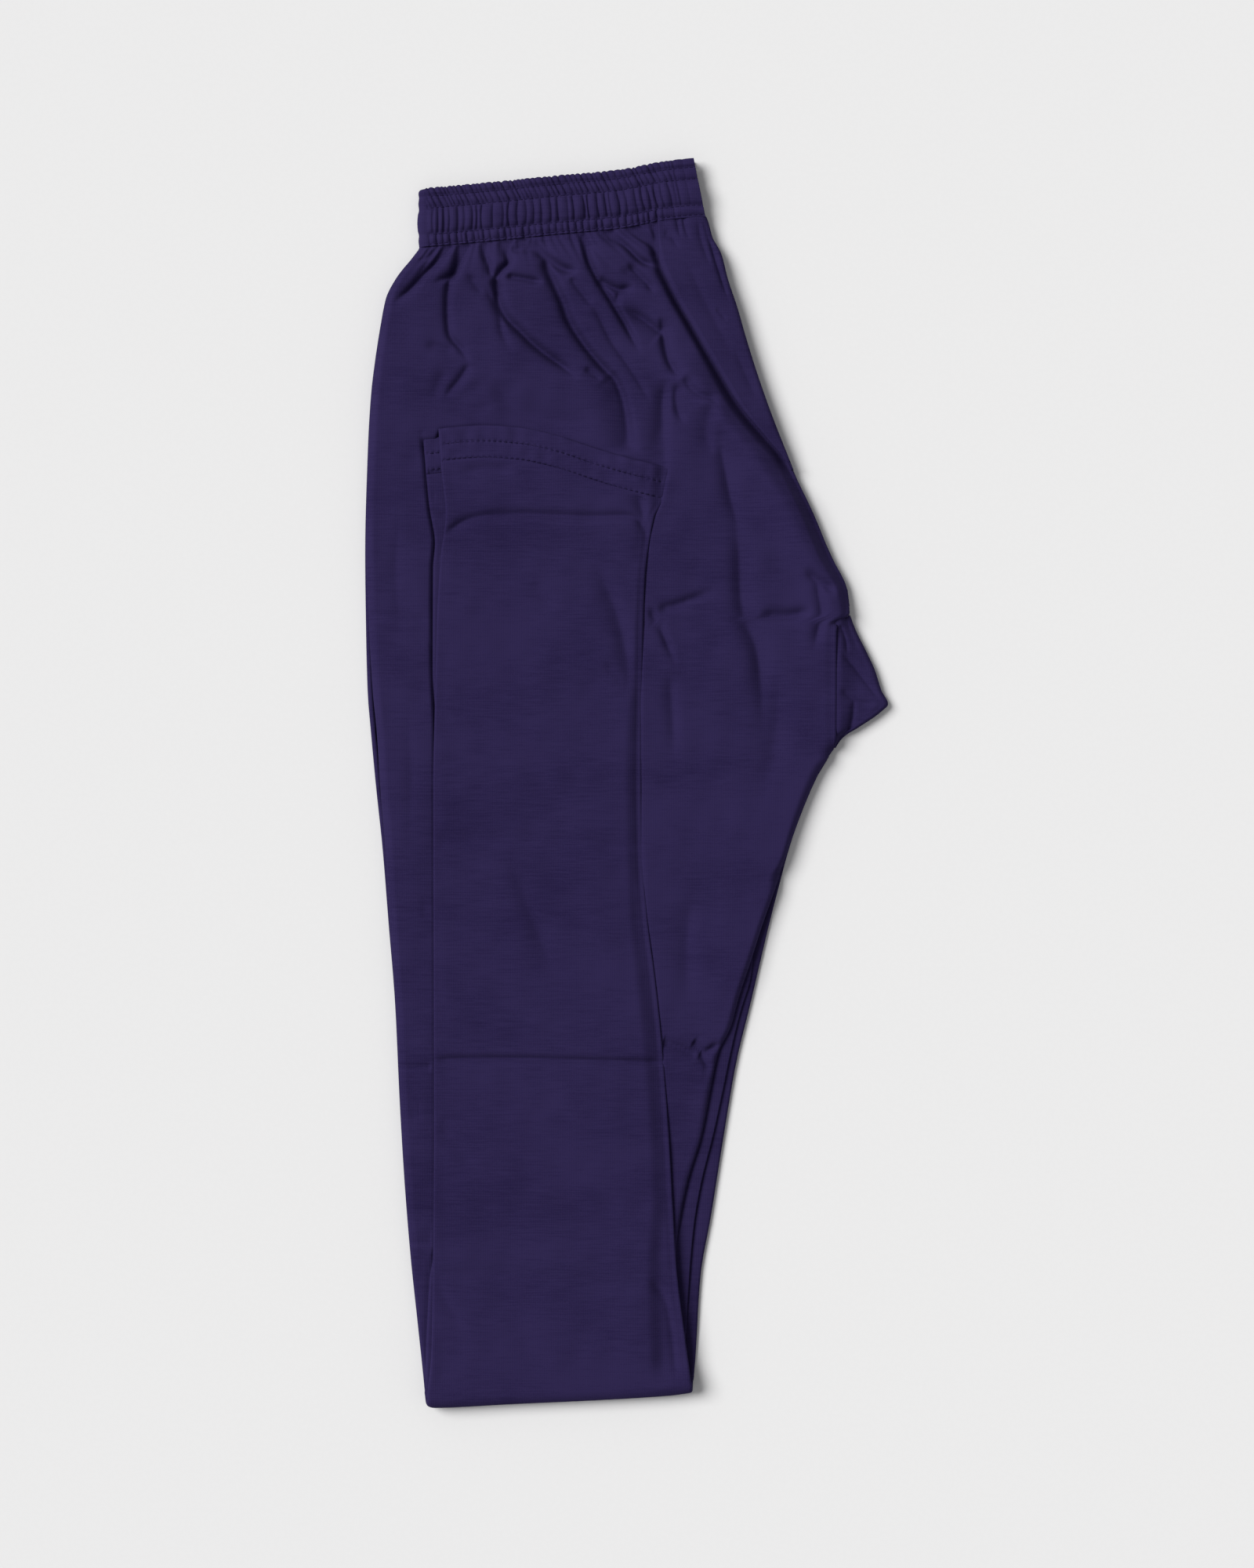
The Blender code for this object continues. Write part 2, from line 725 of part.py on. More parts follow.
# The waistband from its top edge down. Share of its depth and turn of its rolled top edge in thousandths,
# height of the channel and of the gathers in millimetres.
CHANNELS = table(
    "share roll puff gather",
    (0, 1000, 0.0, 0.22),
    (0, 500, 0.0, 0.22),
    (0, 0, 0.0, 0.22),
    (140, 0, 0.1, 0.14),
    (350, 0, -0.1, 0.16),
    (460, 0, 1.2, 0.4),
    (570, 0, 1.5, 0.42),
    (680, 0, 1.2, 0.4),
    (790, 0, -0.1, 0.16),
    (1000, 0, -0.6, 0.2),
)


def waistband_points():
    """The gathered casing: from its right end along the top, round the left fold, back along the floor."""
    fold_radius = (BAND_PLY - FLOOR_PLY) / 2
    turn = BAND_LEFT + fold_radius + PLY / 2
    smooth = np.array([0.9, 0.95, 1.0])
    across = np.concatenate([np.linspace(0, GATHERED_SHARE, 2 * GATHERS), smooth])[::-1]
    side = np.where(np.arange(len(across)) % 2 == 0, 1.0, -1.0)
    side[: len(smooth)] = 0
    side[-1] = 0
    leaning = (across > 0) * (across < 1)
    angles = np.radians(HALF_TURN)
    edge = ROLL_RADIUS + PLY / 2
    rows = []
    for share, roll, puff, gather in zip(*(CHANNELS[name] for name in ("share", "roll", "puff", "gather"))):
        deep = ROLL_RADIUS * (1 - math.cos(roll * math.pi))
        out = ROLL_RADIUS * math.sin(roll * math.pi)
        right = BAND_RIGHT + BAND_SLANT * share
        top_x = turn + (right - turn) * across + BAND_LEAN * share * leaning
        top_z = BAND_PLY + puff + gather * side - deep
        turn_x = turn - (fold_radius - deep) * np.sin(angles)
        turn_z = FLOOR_PLY + fold_radius + (fold_radius - deep) * np.cos(angles)
        floor_x = np.linspace(turn, right, FLOOR_COLUMNS)
        x = np.concatenate([top_x, turn_x, floor_x])
        z = np.concatenate([top_z, turn_z, floor_x * 0 + FLOOR_PLY + deep])
        rows.append(np.stack([x, band_top(x) - edge + out - share * (BAND_DEPTH - edge), z], 1))
    return np.array(rows)


def band_layers():
    """The inner plies and elastic of the waistband, as one rounded solid inside the casing."""
    rows = []
    low = FLOOR_PLY + PLY / 2 + GAP
    for share in BAND_LAYER_SHARES:
        xl = BAND_LEFT + BAND_LAYERS_SIDE
        xr = BAND_RIGHT + BAND_SLANT * share - 2.5 * MM
        down = share * BAND_DEPTH + 1.5 * MM
        rows.append((xl, band_top(xl) - down, xr, band_top(xr) - down, low, low, BAND_LAYERS_TOP, BAND_LAYERS_TOP))
    return layered_solid("band_layers", rows, 3, ELASTIC)


def clear_scene():
    for old in list(bpy.data.objects):
        bpy.data.objects.remove(old, do_unlink=True)


clear_scene()
cloth("lower_leg", floor_leg_points(), JERSEY)
cloth("upper_leg", upper_leg_points(), JERSEY)
thigh_layers()
upper_calf()
cloth("lower_hem", hem_points(hem_line, calf_left, calf_right, CALF_PLY), JERSEY, closed=True)
under_hem_ply = THIGH_PLY + PLY + GAP + 2 * ROLL_RADIUS
under_hem = hem_points(under_hem_line, under_calf_left, under_calf_right, under_hem_ply)
cloth("upper_hem", under_hem, JERSEY, closed=True)
cloth("gusset", gusset_points(), JERSEY)
cloth("rise_flap", flap_points(), JERSEY)
cloth("waistband", waistband_points(), JERSEY)
band_layers()
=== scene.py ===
"""Folded churidar trousers in indigo stretch jersey, seen from straight above.

X runs across the trousers, Y from the knee fold up to the waistband, Z up from the floor they lie on.
"""
import math
from collections import namedtuple

import bpy
import numpy as np
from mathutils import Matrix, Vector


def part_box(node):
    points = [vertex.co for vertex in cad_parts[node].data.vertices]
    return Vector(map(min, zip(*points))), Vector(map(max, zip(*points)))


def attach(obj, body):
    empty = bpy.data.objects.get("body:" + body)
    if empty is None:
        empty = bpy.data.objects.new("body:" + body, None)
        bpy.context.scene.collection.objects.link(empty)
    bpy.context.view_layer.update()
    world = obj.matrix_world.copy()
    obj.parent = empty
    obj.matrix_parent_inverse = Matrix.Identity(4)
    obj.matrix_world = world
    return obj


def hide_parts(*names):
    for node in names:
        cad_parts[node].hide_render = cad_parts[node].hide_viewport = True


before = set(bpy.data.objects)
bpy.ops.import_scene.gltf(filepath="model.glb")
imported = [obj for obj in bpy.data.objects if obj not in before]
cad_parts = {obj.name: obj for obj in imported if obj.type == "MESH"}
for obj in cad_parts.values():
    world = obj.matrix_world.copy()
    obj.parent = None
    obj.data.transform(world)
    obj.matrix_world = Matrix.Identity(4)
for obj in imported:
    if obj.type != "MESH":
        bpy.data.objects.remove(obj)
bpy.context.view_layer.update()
bpy.ops.object.select_all(action="DESELECT")

# The leg that lies on the floor.
# A single cut of cotton jersey from waist to ankle, sewn to a tube along the inseam. It lies flat, turns
# up round the knee fold, and its calf comes back on top of everything, ending in a sewn hem.
MM = 0.001
PLY = 1.2 * MM
ROLL = 1.45 * MM
ROLL_REACH = 1.2 * MM
SEAM_GAP = 0.6 * MM
BAND_DEPTH = 30.6 * MM
HEM_DEPTH = 19.0 * MM
FLOOR_FACE = 0.0
CALF_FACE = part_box("lower_leg")[1][2]
INNER_STEP = 4
INNER_DROP = 6.0 * MM
INNER_LIFT = 0.3 * MM


def table(columns, *rows):
    """A table given in millimetres, its columns by name, in metres."""
    return {name: np.array(values, float) * MM for name, values in zip(columns.split(), zip(*rows))}


def reader(rows, column, against="y"):
    """A curve through one column of a table that never overshoots its rows."""
    order = np.argsort(rows[against])
    at = rows[against][order]
    value = rows[column][order]
    step = np.diff(value) / np.diff(at)
    slope = np.zeros(len(at))
    same_way = step[:-1] * step[1:] > 0
    slope[1:-1][same_way] = (2 * step[:-1] * step[1:])[same_way] / (step[:-1] + step[1:])[same_way]
    slope[0] = step[0]
    slope[-1] = step[-1]

    def read(where):
        where = np.clip(where, at[0], at[-1])
        i = np.clip(np.searchsorted(at, where) - 1, 0, len(at) - 2)
        width = at[i + 1] - at[i]
        t = (where - at[i]) / width
        return (
            value[i] * (1 + 2 * t) * (1 - t) ** 2
            + value[i + 1] * (3 - 2 * t) * t**2
            + (slope[i] * (1 - t) - slope[i + 1] * t) * t * (1 - t) * width
        )

    return read


def ease(low, high, value):
    """0 below low, 1 above high, smooth between."""
    t = np.clip((value - low) / (high - low), 0, 1)
    return t * t * (3 - 2 * t)


def bell(away, width):
    """1 at the middle, dying out to both sides."""
    return np.exp(-((away / width) ** 2))


floor_leg_left = reader(table("y x",
    (286, -109.3), (280, -112.3), (277, -115.2), (267, -123), (257, -128), (246, -130.2), (226, -133.4),
    (205, -135.9), (174, -137.6), (122, -138.9), (80, -138.4), (49, -137.6), (28, -135.9), (-3, -133),
    (-34, -129.7), (-75, -126.4), (-117, -123), (-168, -120.6), (-210, -118.1), (-252, -114.7),
    (-283, -111.4), (-318, -107.7), (-331, -106.5)), "x")
floor_leg_right = reader(table("y x",
    (296, 41.7), (290, 45), (280, 50.4), (267, 53.7), (252, 58.7), (236, 63.3), (215, 69.9), (195, 77),
    (174, 85.3), (163, 89.8), (143, 99.4), (122, 108.1), (112, 113.1), (101, 117.7), (89.5, 118.6),
    (84, 111.8), (80, 111.2), (22, 111.2), (18, 110.2), (8, 103.5), (-13, 94), (-34, 86.5), (-54, 81.1),
    (-75, 75.7), (-117, 65.8), (-148, 58.3), (-189, 51.3), (-231, 44.6), (-262, 39.2), (-303, 36.7),
    (-323, 35.1)), "x")
calf_left = reader(table("y x",
    (188, -99.6), (167, -98.1), (142, -95.7), (121, -98.1), (88, -100.2), (35, -101.5), (1, -102.3),
    (-183, -101.9), (-249, -102.3), (-300, -103.2), (-331, -106.5)), "x")
calf_right = reader(table("y x",
    (170, 23.4), (165, 22.6), (149, 18.9), (141, 14.9), (128, 12.2), (107, 9.8), (61, 8.5), (1, 7.8),
    (-34, 8.4), (-71, 11), (-103, 15.1), (-135, 18.5), (-183, 22.2), (-221, 24.3), (-256, 26.4),
    (-290, 30.5), (-323, 35.1)), "x")
# The edge of the calf below, felt through the top panel as a soft step
calf_below = reader(table("y x",
    (184, 16), (60, 3), (0, 0.2), (-71, 2.3), (-103, 5.6), (-144, 9.8), (-183, 12.7), (-221, 13.9),
    (-253, 11.8), (-331, 14)), "x")
knee_fold = reader(table("x y",
    (-112, -326), (-102, -330.9), (-66, -329.2), (21, -324.6), (40, -322)), "y", "x")
hem_line = reader(table("x y",
    (-108, 186.5), (-75, 189.2), (-57, 188), (-37, 183.8), (-17, 177.2), (0, 172.2), (30, 165)), "y", "x")
band_top = reader(table("x y",
    (-111, 314.4), (-72, 317.9), (-35, 321.6), (-4, 324.5), (21, 329.1), (36, 330.5)), "y", "x")


def waist_seam(x):
    return band_top(x) - BAND_DEPTH - SEAM_GAP


def calf_seam(x):
    return hem_line(x) - HEM_DEPTH + 2.3 * MM


# A fold: depth of its sharp crease, depth of the soft valley round it, the valley's width to the left and to
# the right of its path, and the shares of its length over which it begins and dies out
Fold = namedtuple("Fold", "crease valley left right path begins dies", defaults=(0.15, 0.35))
CREASE_WIDTH = 1.3 * MM


def path_points(path, steps=14):
    """A smooth path through given points, in metres."""
    p = np.array(path, float) * MM
    p = np.vstack([2 * p[0] - p[1], p, 2 * p[-1] - p[-2]])
    t = np.linspace(0, 1, steps, endpoint=False)[:, None]
    parts = []
    for a, b, c, d in zip(p[:-3], p[1:-2], p[2:-1], p[3:]):
        bend = (2 * a - 5 * b + 4 * c - d) * t**2 + (3 * b - a - 3 * c + d) * t**3
        parts.append(0.5 * (2 * b + (c - a) * t + bend))
    return np.vstack(parts + [p[-2:-1]])


def fold_field(x, y, folds):
    """How far folds sink the cloth at each point."""
    sunk = np.zeros(np.shape(x))
    for fold in folds:
        line = path_points(fold.path)
        margin = (3 * max(fold.left, fold.right) + 3) * MM
        near = ((x > line[:, 0].min() - margin) & (x < line[:, 0].max() + margin)
                & (y > line[:, 1].min() - margin) & (y < line[:, 1].max() + margin))
        if not near.any():
            continue
        px = x[near]
        py = y[near]
        length = np.concatenate([[0], np.cumsum(np.hypot(*np.diff(line, axis=0).T))])
        best = np.full(px.shape, np.inf)
        along = np.zeros(px.shape)
        side = np.zeros(px.shape)
        for k in range(len(line) - 1):
            ax, ay = line[k]
            bx, by = line[k + 1] - line[k]
            run = max(bx * bx + by * by, 1e-12)
            t = np.clip(((px - ax) * bx + (py - ay) * by) / run, 0, 1)
            dx = px - ax - t * bx
            dy = py - ay - t * by
            away = np.hypot(dx, dy)
            closer = away < best
            best = np.where(closer, away, best)
            along = np.where(closer, (length[k] + t * (length[k + 1] - length[k])) / length[-1], along)
            side = np.where(closer, np.sign(bx * dy - by * dx), side)
        width = np.where(side > 0, fold.left, fold.right) * MM
        strength = ease(-0.02, fold.begins, along) * (1 - ease(1 - fold.dies, 1.02, along))
        crease = fold.crease * np.exp(-((best / (CREASE_WIDTH * (0.75 + 0.25 * strength))) ** 1.3))
        valley = fold.valley * np.exp(-((best / width) ** 1.6))
        sunk[near] += ((crease + valley) * strength * MM) ** 2
    return np.sqrt(sunk)


def soft_waves(x, y, seed, wavelength, stretch=1.0, count=14):
    """Uneven low swells in the cloth, from -1 to 1 or so; stretch makes them longer along Y."""
    random = np.random.default_rng(seed)
    total = np.zeros(np.shape(x))
    for _ in range(count):
        angle = random.uniform(0, 2 * math.pi)
        scale = 2 * math.pi / (wavelength * MM * random.uniform(0.7, 1.6))
        across = x * math.cos(angle) + y * math.sin(angle) / stretch
        total += np.sin(scale * across + random.uniform(0, 6.3))
    return total / math.sqrt(count)


def softened(height):
    """A field of heights with steps too sharp for cloth taken off."""
    for axis in (0, 1):
        places = np.arange(height.shape[axis])
        before = np.take(height, np.maximum(places - 1, 0), axis)
        after = np.take(height, np.minimum(places + 1, places[-1]), axis)
        height = (before + 2 * height + after) / 4
    return height


def uneven_rows(high, low, rows):
    """Shares from 1 at the high end to 0 at the low end, as far apart as the table says."""
    apart = reader(rows, "apart")
    y = high
    shares = []
    while y > low:
        shares.append((y - low) / (high - low))
        y -= float(apart(y))
    return shares + [0.0]


def roll_edge(roll, radius=ROLL, reach=ROLL_REACH, steps=6):
    """A turned edge from its start to its free end: how far in from the outline, and how deep inside."""
    turn = np.linspace(0, math.pi, steps)
    if roll > 0.01:
        out = np.sin(roll * turn) * radius / roll
        deep = (1 - np.cos(roll * turn)) * radius / roll
    else:
        out = turn * radius
        deep = turn * 0
    out = np.append(out, out[-1] + math.cos(roll * math.pi) * reach)
    deep = np.append(deep, deep[-1] + math.sin(roll * math.pi) * reach)
    shrink = min(1.0, 2 * radius / max(deep.max(), 1e-6))
    out = out * shrink
    return out.max() - out, deep * shrink


def section(left, right, columns, left_roll=1.0, right_roll=1.0, left_reach=ROLL_REACH,
            right_reach=ROLL_REACH, radius=ROLL, left_radius=None, right_radius=None, quiet=None):
    """One section across a flattened tube: x and depth inside. quiet is a hidden span with few columns."""
    left_in, left_deep = roll_edge(left_roll, left_radius or radius, left_reach)
    right_in, right_deep = roll_edge(right_roll, right_radius or radius, right_reach)
    sample = np.linspace(left + left_in[0], right - right_in[0], 400)
    crowd = np.ones(400)
    if quiet is not None:
        start, end, share = quiet
        within = ease(start, start + 4 * MM, sample) * (1 - ease(end - 4 * MM, end, sample))
        crowd = crowd - (1 - share) * within
    counted = np.concatenate([[0], np.cumsum((crowd[1:] + crowd[:-1]) / 2)])
    flat = np.interp(np.linspace(0, counted[-1], columns + 2)[1:-1], counted, sample)
    x = np.concatenate([left + left_in[::-1], flat, right - right_in])
    deep = np.concatenate([left_deep[::-1], flat * 0, right_deep])
    return x, deep


def edge_point(low, high, side, share):
    """Where a side of a panel crosses the line at this share of the way from low to high."""
    y = 0.0
    for _ in range(12):
        x = side(y)
        y = low(x) * (1 - share) + high(x) * share
    return x, y


def new_piece(name, points, faces):
    mesh = bpy.data.meshes.new(name)
    mesh.from_pydata([tuple(p) for p in points.tolist()], [], faces)
    mesh.shade_smooth()
    obj = bpy.data.objects.new(name, mesh)
    bpy.context.scene.collection.objects.link(obj)
    return obj


def cloth_shell(name, grid, thickness=PLY, closed=False, step=INNER_STEP, flip=False):
    """A thin shell of cloth: a fine outer face on the grid, a plainer inner face, and a rim between them."""
    rows, columns = grid.shape[:2]
    row_end = (rows - 1) // step * step
    pick_rows = np.unique(np.append(np.arange(0, row_end + 1, step), rows - 1))
    last = columns if closed else columns - 1
    pick = np.unique(np.append(np.arange(0, last, step), last))
    down = np.gradient(grid, axis=0)
    if closed:
        wrapped = np.concatenate([grid[:, -1:], grid, grid[:, :1]], 1)
        across = (wrapped[:, 2:] - wrapped[:, :-2]) / 2
        pick_columns = pick[:-1]
    else:
        across = np.gradient(grid, axis=1)
        pick_columns = pick
    normal = np.cross(down, across)
    normal /= np.maximum(np.linalg.norm(normal, axis=2, keepdims=True), 1e-12)
    normal = -normal if flip else normal
    # Where the cloth faces up, the inner face drops below the deepest fold near it, so that it never shows
    lowest = grid[..., 2]
    for axis, size in ((0, rows), (1, columns)):
        near = [np.clip(np.arange(size) + shift, 0, size - 1) for shift in range(-step, step + 1)]
        lowest = np.min([np.take(lowest, places, axis) for places in near], 0)
    inner = grid - normal * thickness
    inner[..., 2] -= np.where(normal[..., 2] > 0.35, np.minimum(grid[..., 2] - lowest, INNER_DROP), 0)
    inner[..., 2] = np.maximum(inner[..., 2], INNER_LIFT)
    inner = inner[np.ix_(pick_rows, pick_columns)]
    points = np.vstack([grid.reshape(-1, 3), inner.reshape(-1, 3)])
    base = rows * columns
    inner_columns = len(pick_columns)

    def outer_at(i, j):
        return i * columns + j % columns

    def inner_at(i, j):
        return base + i * inner_columns + j % inner_columns

    i, j = np.meshgrid(np.arange(rows - 1), np.arange(last), indexing="ij")
    quads = np.stack([outer_at(i, j), outer_at(i, j + 1), outer_at(i + 1, j + 1), outer_at(i + 1, j)], -1)
    faces = [tuple(f) for f in quads.reshape(-1, 4).tolist()]
    spans = len(pick) - 1
    i, j = np.meshgrid(np.arange(len(pick_rows) - 1), np.arange(spans), indexing="ij")
    quads = np.stack([inner_at(i, j), inner_at(i + 1, j), inner_at(i + 1, j + 1), inner_at(i, j + 1)], -1)
    faces += [tuple(f) for f in quads.reshape(-1, 4).tolist()]
    for j in range(spans):
        run = list(range(pick[j], pick[j + 1] + 1))
        faces.append((inner_at(0, j), inner_at(0, j + 1), *[outer_at(0, c) for c in run[::-1]]))
        i = len(pick_rows) - 1
        faces.append((inner_at(i, j + 1), inner_at(i, j), *[outer_at(rows - 1, c) for c in run]))
    if not closed:
        for i in range(len(pick_rows) - 1):
            run = list(range(pick_rows[i], pick_rows[i + 1] + 1))
            faces.append((inner_at(i + 1, 0), inner_at(i, 0), *[outer_at(r, 0) for r in run]))
            j = inner_columns - 1
            faces.append((inner_at(i, j), inner_at(i + 1, j), *[outer_at(r, columns - 1) for r in run[::-1]]))
    if not flip:
        faces = [f[::-1] for f in faces]
    return new_piece(name, points, faces)


def node(tree, kind, **values):
    """A shader node with its settings and its unlinked inputs filled in."""
    made = tree.nodes.new(kind)
    for key, value in values.items():
        if key in made.inputs:
            made.inputs[key].default_value = value
        else:
            setattr(made, key, value)
    return made


def stretched_noise(tree, coordinate, scale, detail, size=(1, 1, 1)):
    mapping = node(tree, "ShaderNodeMapping")
    mapping.inputs["Scale"].default_value = size
    tree.links.new(coordinate, mapping.inputs["Vector"])
    texture = node(tree, "ShaderNodeTexNoise", Scale=scale, Detail=detail)
    tree.links.new(mapping.outputs["Vector"], texture.inputs["Vector"])
    return texture.outputs["Fac"]


def weighted(tree, *terms):
    """The sum of (socket, weight) pairs."""
    total = None
    for socket, weight in terms:
        part = node(tree, "ShaderNodeMath", operation="MULTIPLY_ADD")
        tree.links.new(socket, part.inputs[0])
        part.inputs[1].default_value = weight
        part.inputs[2].default_value = 0.0
        if total is not None:
            tree.links.new(total, part.inputs[2])
        total = part.outputs[0]
    return total


def jersey(name, deep, light, rib=1.0):
    """Indigo cotton jersey: fine wales along Y, faint slubs across, lint and uneven dye, a soft nap."""
    material = bpy.data.materials.new(name)
    material.use_nodes = True
    tree = material.node_tree
    shader = tree.nodes["Principled BSDF"]
    coordinate = node(tree, "ShaderNodeTexCoord").outputs["Object"]
    slubs = stretched_noise(tree, coordinate, 1.0, 4, (70, 1500, 90))
    dye = stretched_noise(tree, coordinate, 1.0, 5, (15, 34, 20))
    fuzz = stretched_noise(tree, coordinate, 1700.0, 2)
    wales = node(tree, "ShaderNodeTexWave", Scale=262.0, Distortion=1.2, Detail=1.0, wave_type="BANDS",
                 bands_direction="X")
    wales.inputs["Detail Scale"].default_value = 0.6
    tree.links.new(coordinate, wales.inputs["Vector"])
    tone = weighted(tree, (slubs, 0.60), (dye, 0.75), (fuzz, 0.42), (wales.outputs["Fac"], 0.08))
    ramp = node(tree, "ShaderNodeValToRGB")
    ramp.color_ramp.elements[0].position = 0.58
    ramp.color_ramp.elements[0].color = (*deep, 1)
    ramp.color_ramp.elements[1].position = 1.0
    ramp.color_ramp.elements[1].color = (*light, 1)
    tree.links.new(tone, ramp.inputs["Fac"])
    tree.links.new(ramp.outputs["Color"], shader.inputs["Base Color"])
    height = weighted(tree, (wales.outputs["Fac"], 0.5 * rib), (slubs, 0.5), (fuzz, 0.5))
    bump = node(tree, "ShaderNodeBump", Strength=0.32, Distance=0.00022)
    tree.links.new(height, bump.inputs["Height"])
    tree.links.new(bump.outputs["Normal"], shader.inputs["Normal"])
    shader.inputs["Roughness"].default_value = 0.95
    shader.inputs["Specular IOR Level"].default_value = 0.04
    shader.inputs["Sheen Weight"].default_value = 0.01
    shader.inputs["Sheen Roughness"].default_value = 0.5
    shader.inputs["Sheen Tint"].default_value = (0.42, 0.34, 0.80, 1)
    return material


indigo = jersey("indigo_jersey", (0.0158, 0.0105, 0.0475), (0.0284, 0.0201, 0.0750))


def dress(obj, material, *nodes):
    """Gives a piece its cloth, rides it on the trousers and lets it stand for its plain solids."""
    obj.data.materials.append(material)
    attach(obj, "root")
    if nodes:
        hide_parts(*nodes)


CALF_FOLDS = (
    Fold(1.0, 1.9, 2.6, 2.2, ((-97, 131), (-91, 135.5), (-80, 140.3), (-59, 142.3), (-23, 141), (2, 141),
         (8.5, 136), (11.5, 128)), 0.05, 0.05),
    Fold(0.0, 1.1, 4.4, 3.3, ((-102, -30), (-60, -29.5), (-30, -31), (8, -35)), 0.05, 0.1),
    Fold(1.5, 1.2, 2.0, 2.0, ((-103, -146.1), (-60, -145.6), (-20, -146.6), (20.5, -147.7)), 0.01, 0.01),
    Fold(0.1, 0.9, 4.4, 3.3, ((-103, -259.8), (-60, -259), (-20, -263), (14, -266)), 0.02, 0.2),
    Fold(0.0, 1.4, 5.5, 4.4, ((-62, -38), (-54, -60), (-45, -83), (-38, -104)), 0.3, 0.4),
    Fold(0.0, 3.0, 4.0, 5.0, ((-17, 118), (-11, 104), (-6, 93), (-2, 78), (1, 60), (1, 40)), 0.3, 0.4),
    Fold(0.5, 0.8, 2.2, 2.2, ((-12, 63), (-6, 58), (-1, 53)), 0.3, 0.3),
    Fold(0.1, 0.9, 3.3, 3.3, ((-101, -262), (-94, -276), (-84, -291)), 0.1, 0.4),
    Fold(0.1, 0.9, 3.3, 3.3, ((-99, -180), (-88, -194), (-77, -208)), 0.1, 0.4),
    Fold(0.5, 0.9, 1.8, 2.6, ((12, -262), (20, -272), (24, -290), (27, -321)), 0.1, 0.1),
    Fold(0.0, 0.9, 4.4, 4.4, ((-50, 108), (-44, 99), (-36, 90)), 0.3, 0.4),
    Fold(0.4, 2.8, 3.0, 4.5, ((4, 160), (8, 146), (10.5, 130), (9, 112)), 0.3, 0.4),
    Fold(0.0, 1.5, 3.4, 3.4, ((-90, 164), (-75, 166), (-58, 165)), 0.3, 0.3),
)


def calf_sag(x, y):
    """How far the top panel sinks on its right, past the edge of the calf that lies under it."""
    return 2.7 * MM * ease(-1.5 * MM, 7 * MM, x - calf_below(y))


def calf_relief(x, y):
    """The top panel's height over its own flat face, with the creases it was pressed into when folded."""
    inside = np.minimum(x - calf_left(y), calf_right(y) - x)
    loose = ease(0.5 * MM, 7 * MM, inside)
    below_hem = ease(0, 9 * MM, calf_seam(x) - y)
    tucked = 0.6 * MM * (1 - ease(0, 1.8 * MM, calf_seam(x) - y))
    swell = 0.40 * MM * soft_waves(x, y, 11, 46, 1.8) + 0.14 * MM * soft_waves(x, y, 12, 14, 1.5)
    inseam = 0.45 * MM * bell(calf_right(y) - x - 2.6 * MM, 0.7 * MM)
    creased = fold_field(x, y, CALF_FOLDS) * (0.4 + 0.6 * loose) * ease(0, 3.5 * MM, calf_seam(x) - y)
    return swell * loose * below_hem - calf_sag(x, y) - creased - inseam * below_hem - tucked


# How far apart the rows of the calf's mesh are, closer where it is creased
CALF_ROWS = table("y apart",
    (170, 0.85), (120, 0.9), (108, 1.5), (30, 1.7), (-25, 1.7), (-132, 2.8), (-138, 0.8), (-154, 0.8),
    (-162, 2.8), (-250, 1.6), (-272, 1.6), (-322, 1.5))


def floor_leg_grid():
    fold_radius = (CALF_FACE - FLOOR_FACE) / 2
    columns = 150
    rows = []

    def turning_line(x):
        return knee_fold(x) + fold_radius

    for share in np.linspace(1, 0, 76):
        xl, _ = edge_point(turning_line, waist_seam, floor_leg_left, share)
        xr, yr = edge_point(turning_line, waist_seam, floor_leg_right, share)
        beside_gusset = ease(10 * MM, 21 * MM, yr) * (1 - ease(82 * MM, 95 * MM, yr))
        shown = (1 - ease(-125 * MM, -60 * MM, yr)) * ease(0, 0.06, share)
        x, deep = section(xl, xr, columns, 1, 1 - beside_gusset, ROLL_REACH, ROLL_REACH + 16.5 * MM * shown)
        y = turning_line(x) * (1 - share) + waist_seam(x) * share
        rows.append(np.stack([x, y, FLOOR_FACE + deep], 1))
    for angle in np.radians(np.linspace(0, 180, 14)[1:-1]):
        share = angle / math.pi
        y = turning_line(0)
        x, deep = section(floor_leg_left(y) * (1 - share) + calf_left(y) * share,
                          floor_leg_right(y) * (1 - share) + calf_right(y) * share, columns)
        radius = fold_radius - deep
        z = fold_radius - radius * np.cos(angle)
        rows.append(np.stack([x, turning_line(x) - radius * math.sin(angle), z], 1))
    calf = []
    for share in uneven_rows(165 * MM, -322 * MM, CALF_ROWS)[::-1]:
        xl, _ = edge_point(turning_line, calf_seam, calf_left, share)
        xr, _ = edge_point(turning_line, calf_seam, calf_right, share)
        on_top = ease(0, 0.06, share)
        x, deep = section(xl, xr, columns, left_radius=ROLL - 0.45 * MM * on_top,
                          right_radius=ROLL - 0.65 * MM * on_top)
        y = turning_line(x) * (1 - share) + calf_seam(x) * share
        calf.append((x, y, deep, x * 0 + ease(0, 0.03, share)))
    x, y, deep, from_fold = (np.array(part) for part in zip(*calf))
    z = CALF_FACE + softened(calf_relief(x, y)) * from_fold - deep
    return np.concatenate([np.array(rows), np.stack([x, y, z], 2)])


floor_leg = cloth_shell("floor_leg_cloth", floor_leg_grid(), flip=True)
dress(floor_leg, indigo, "lower_leg")

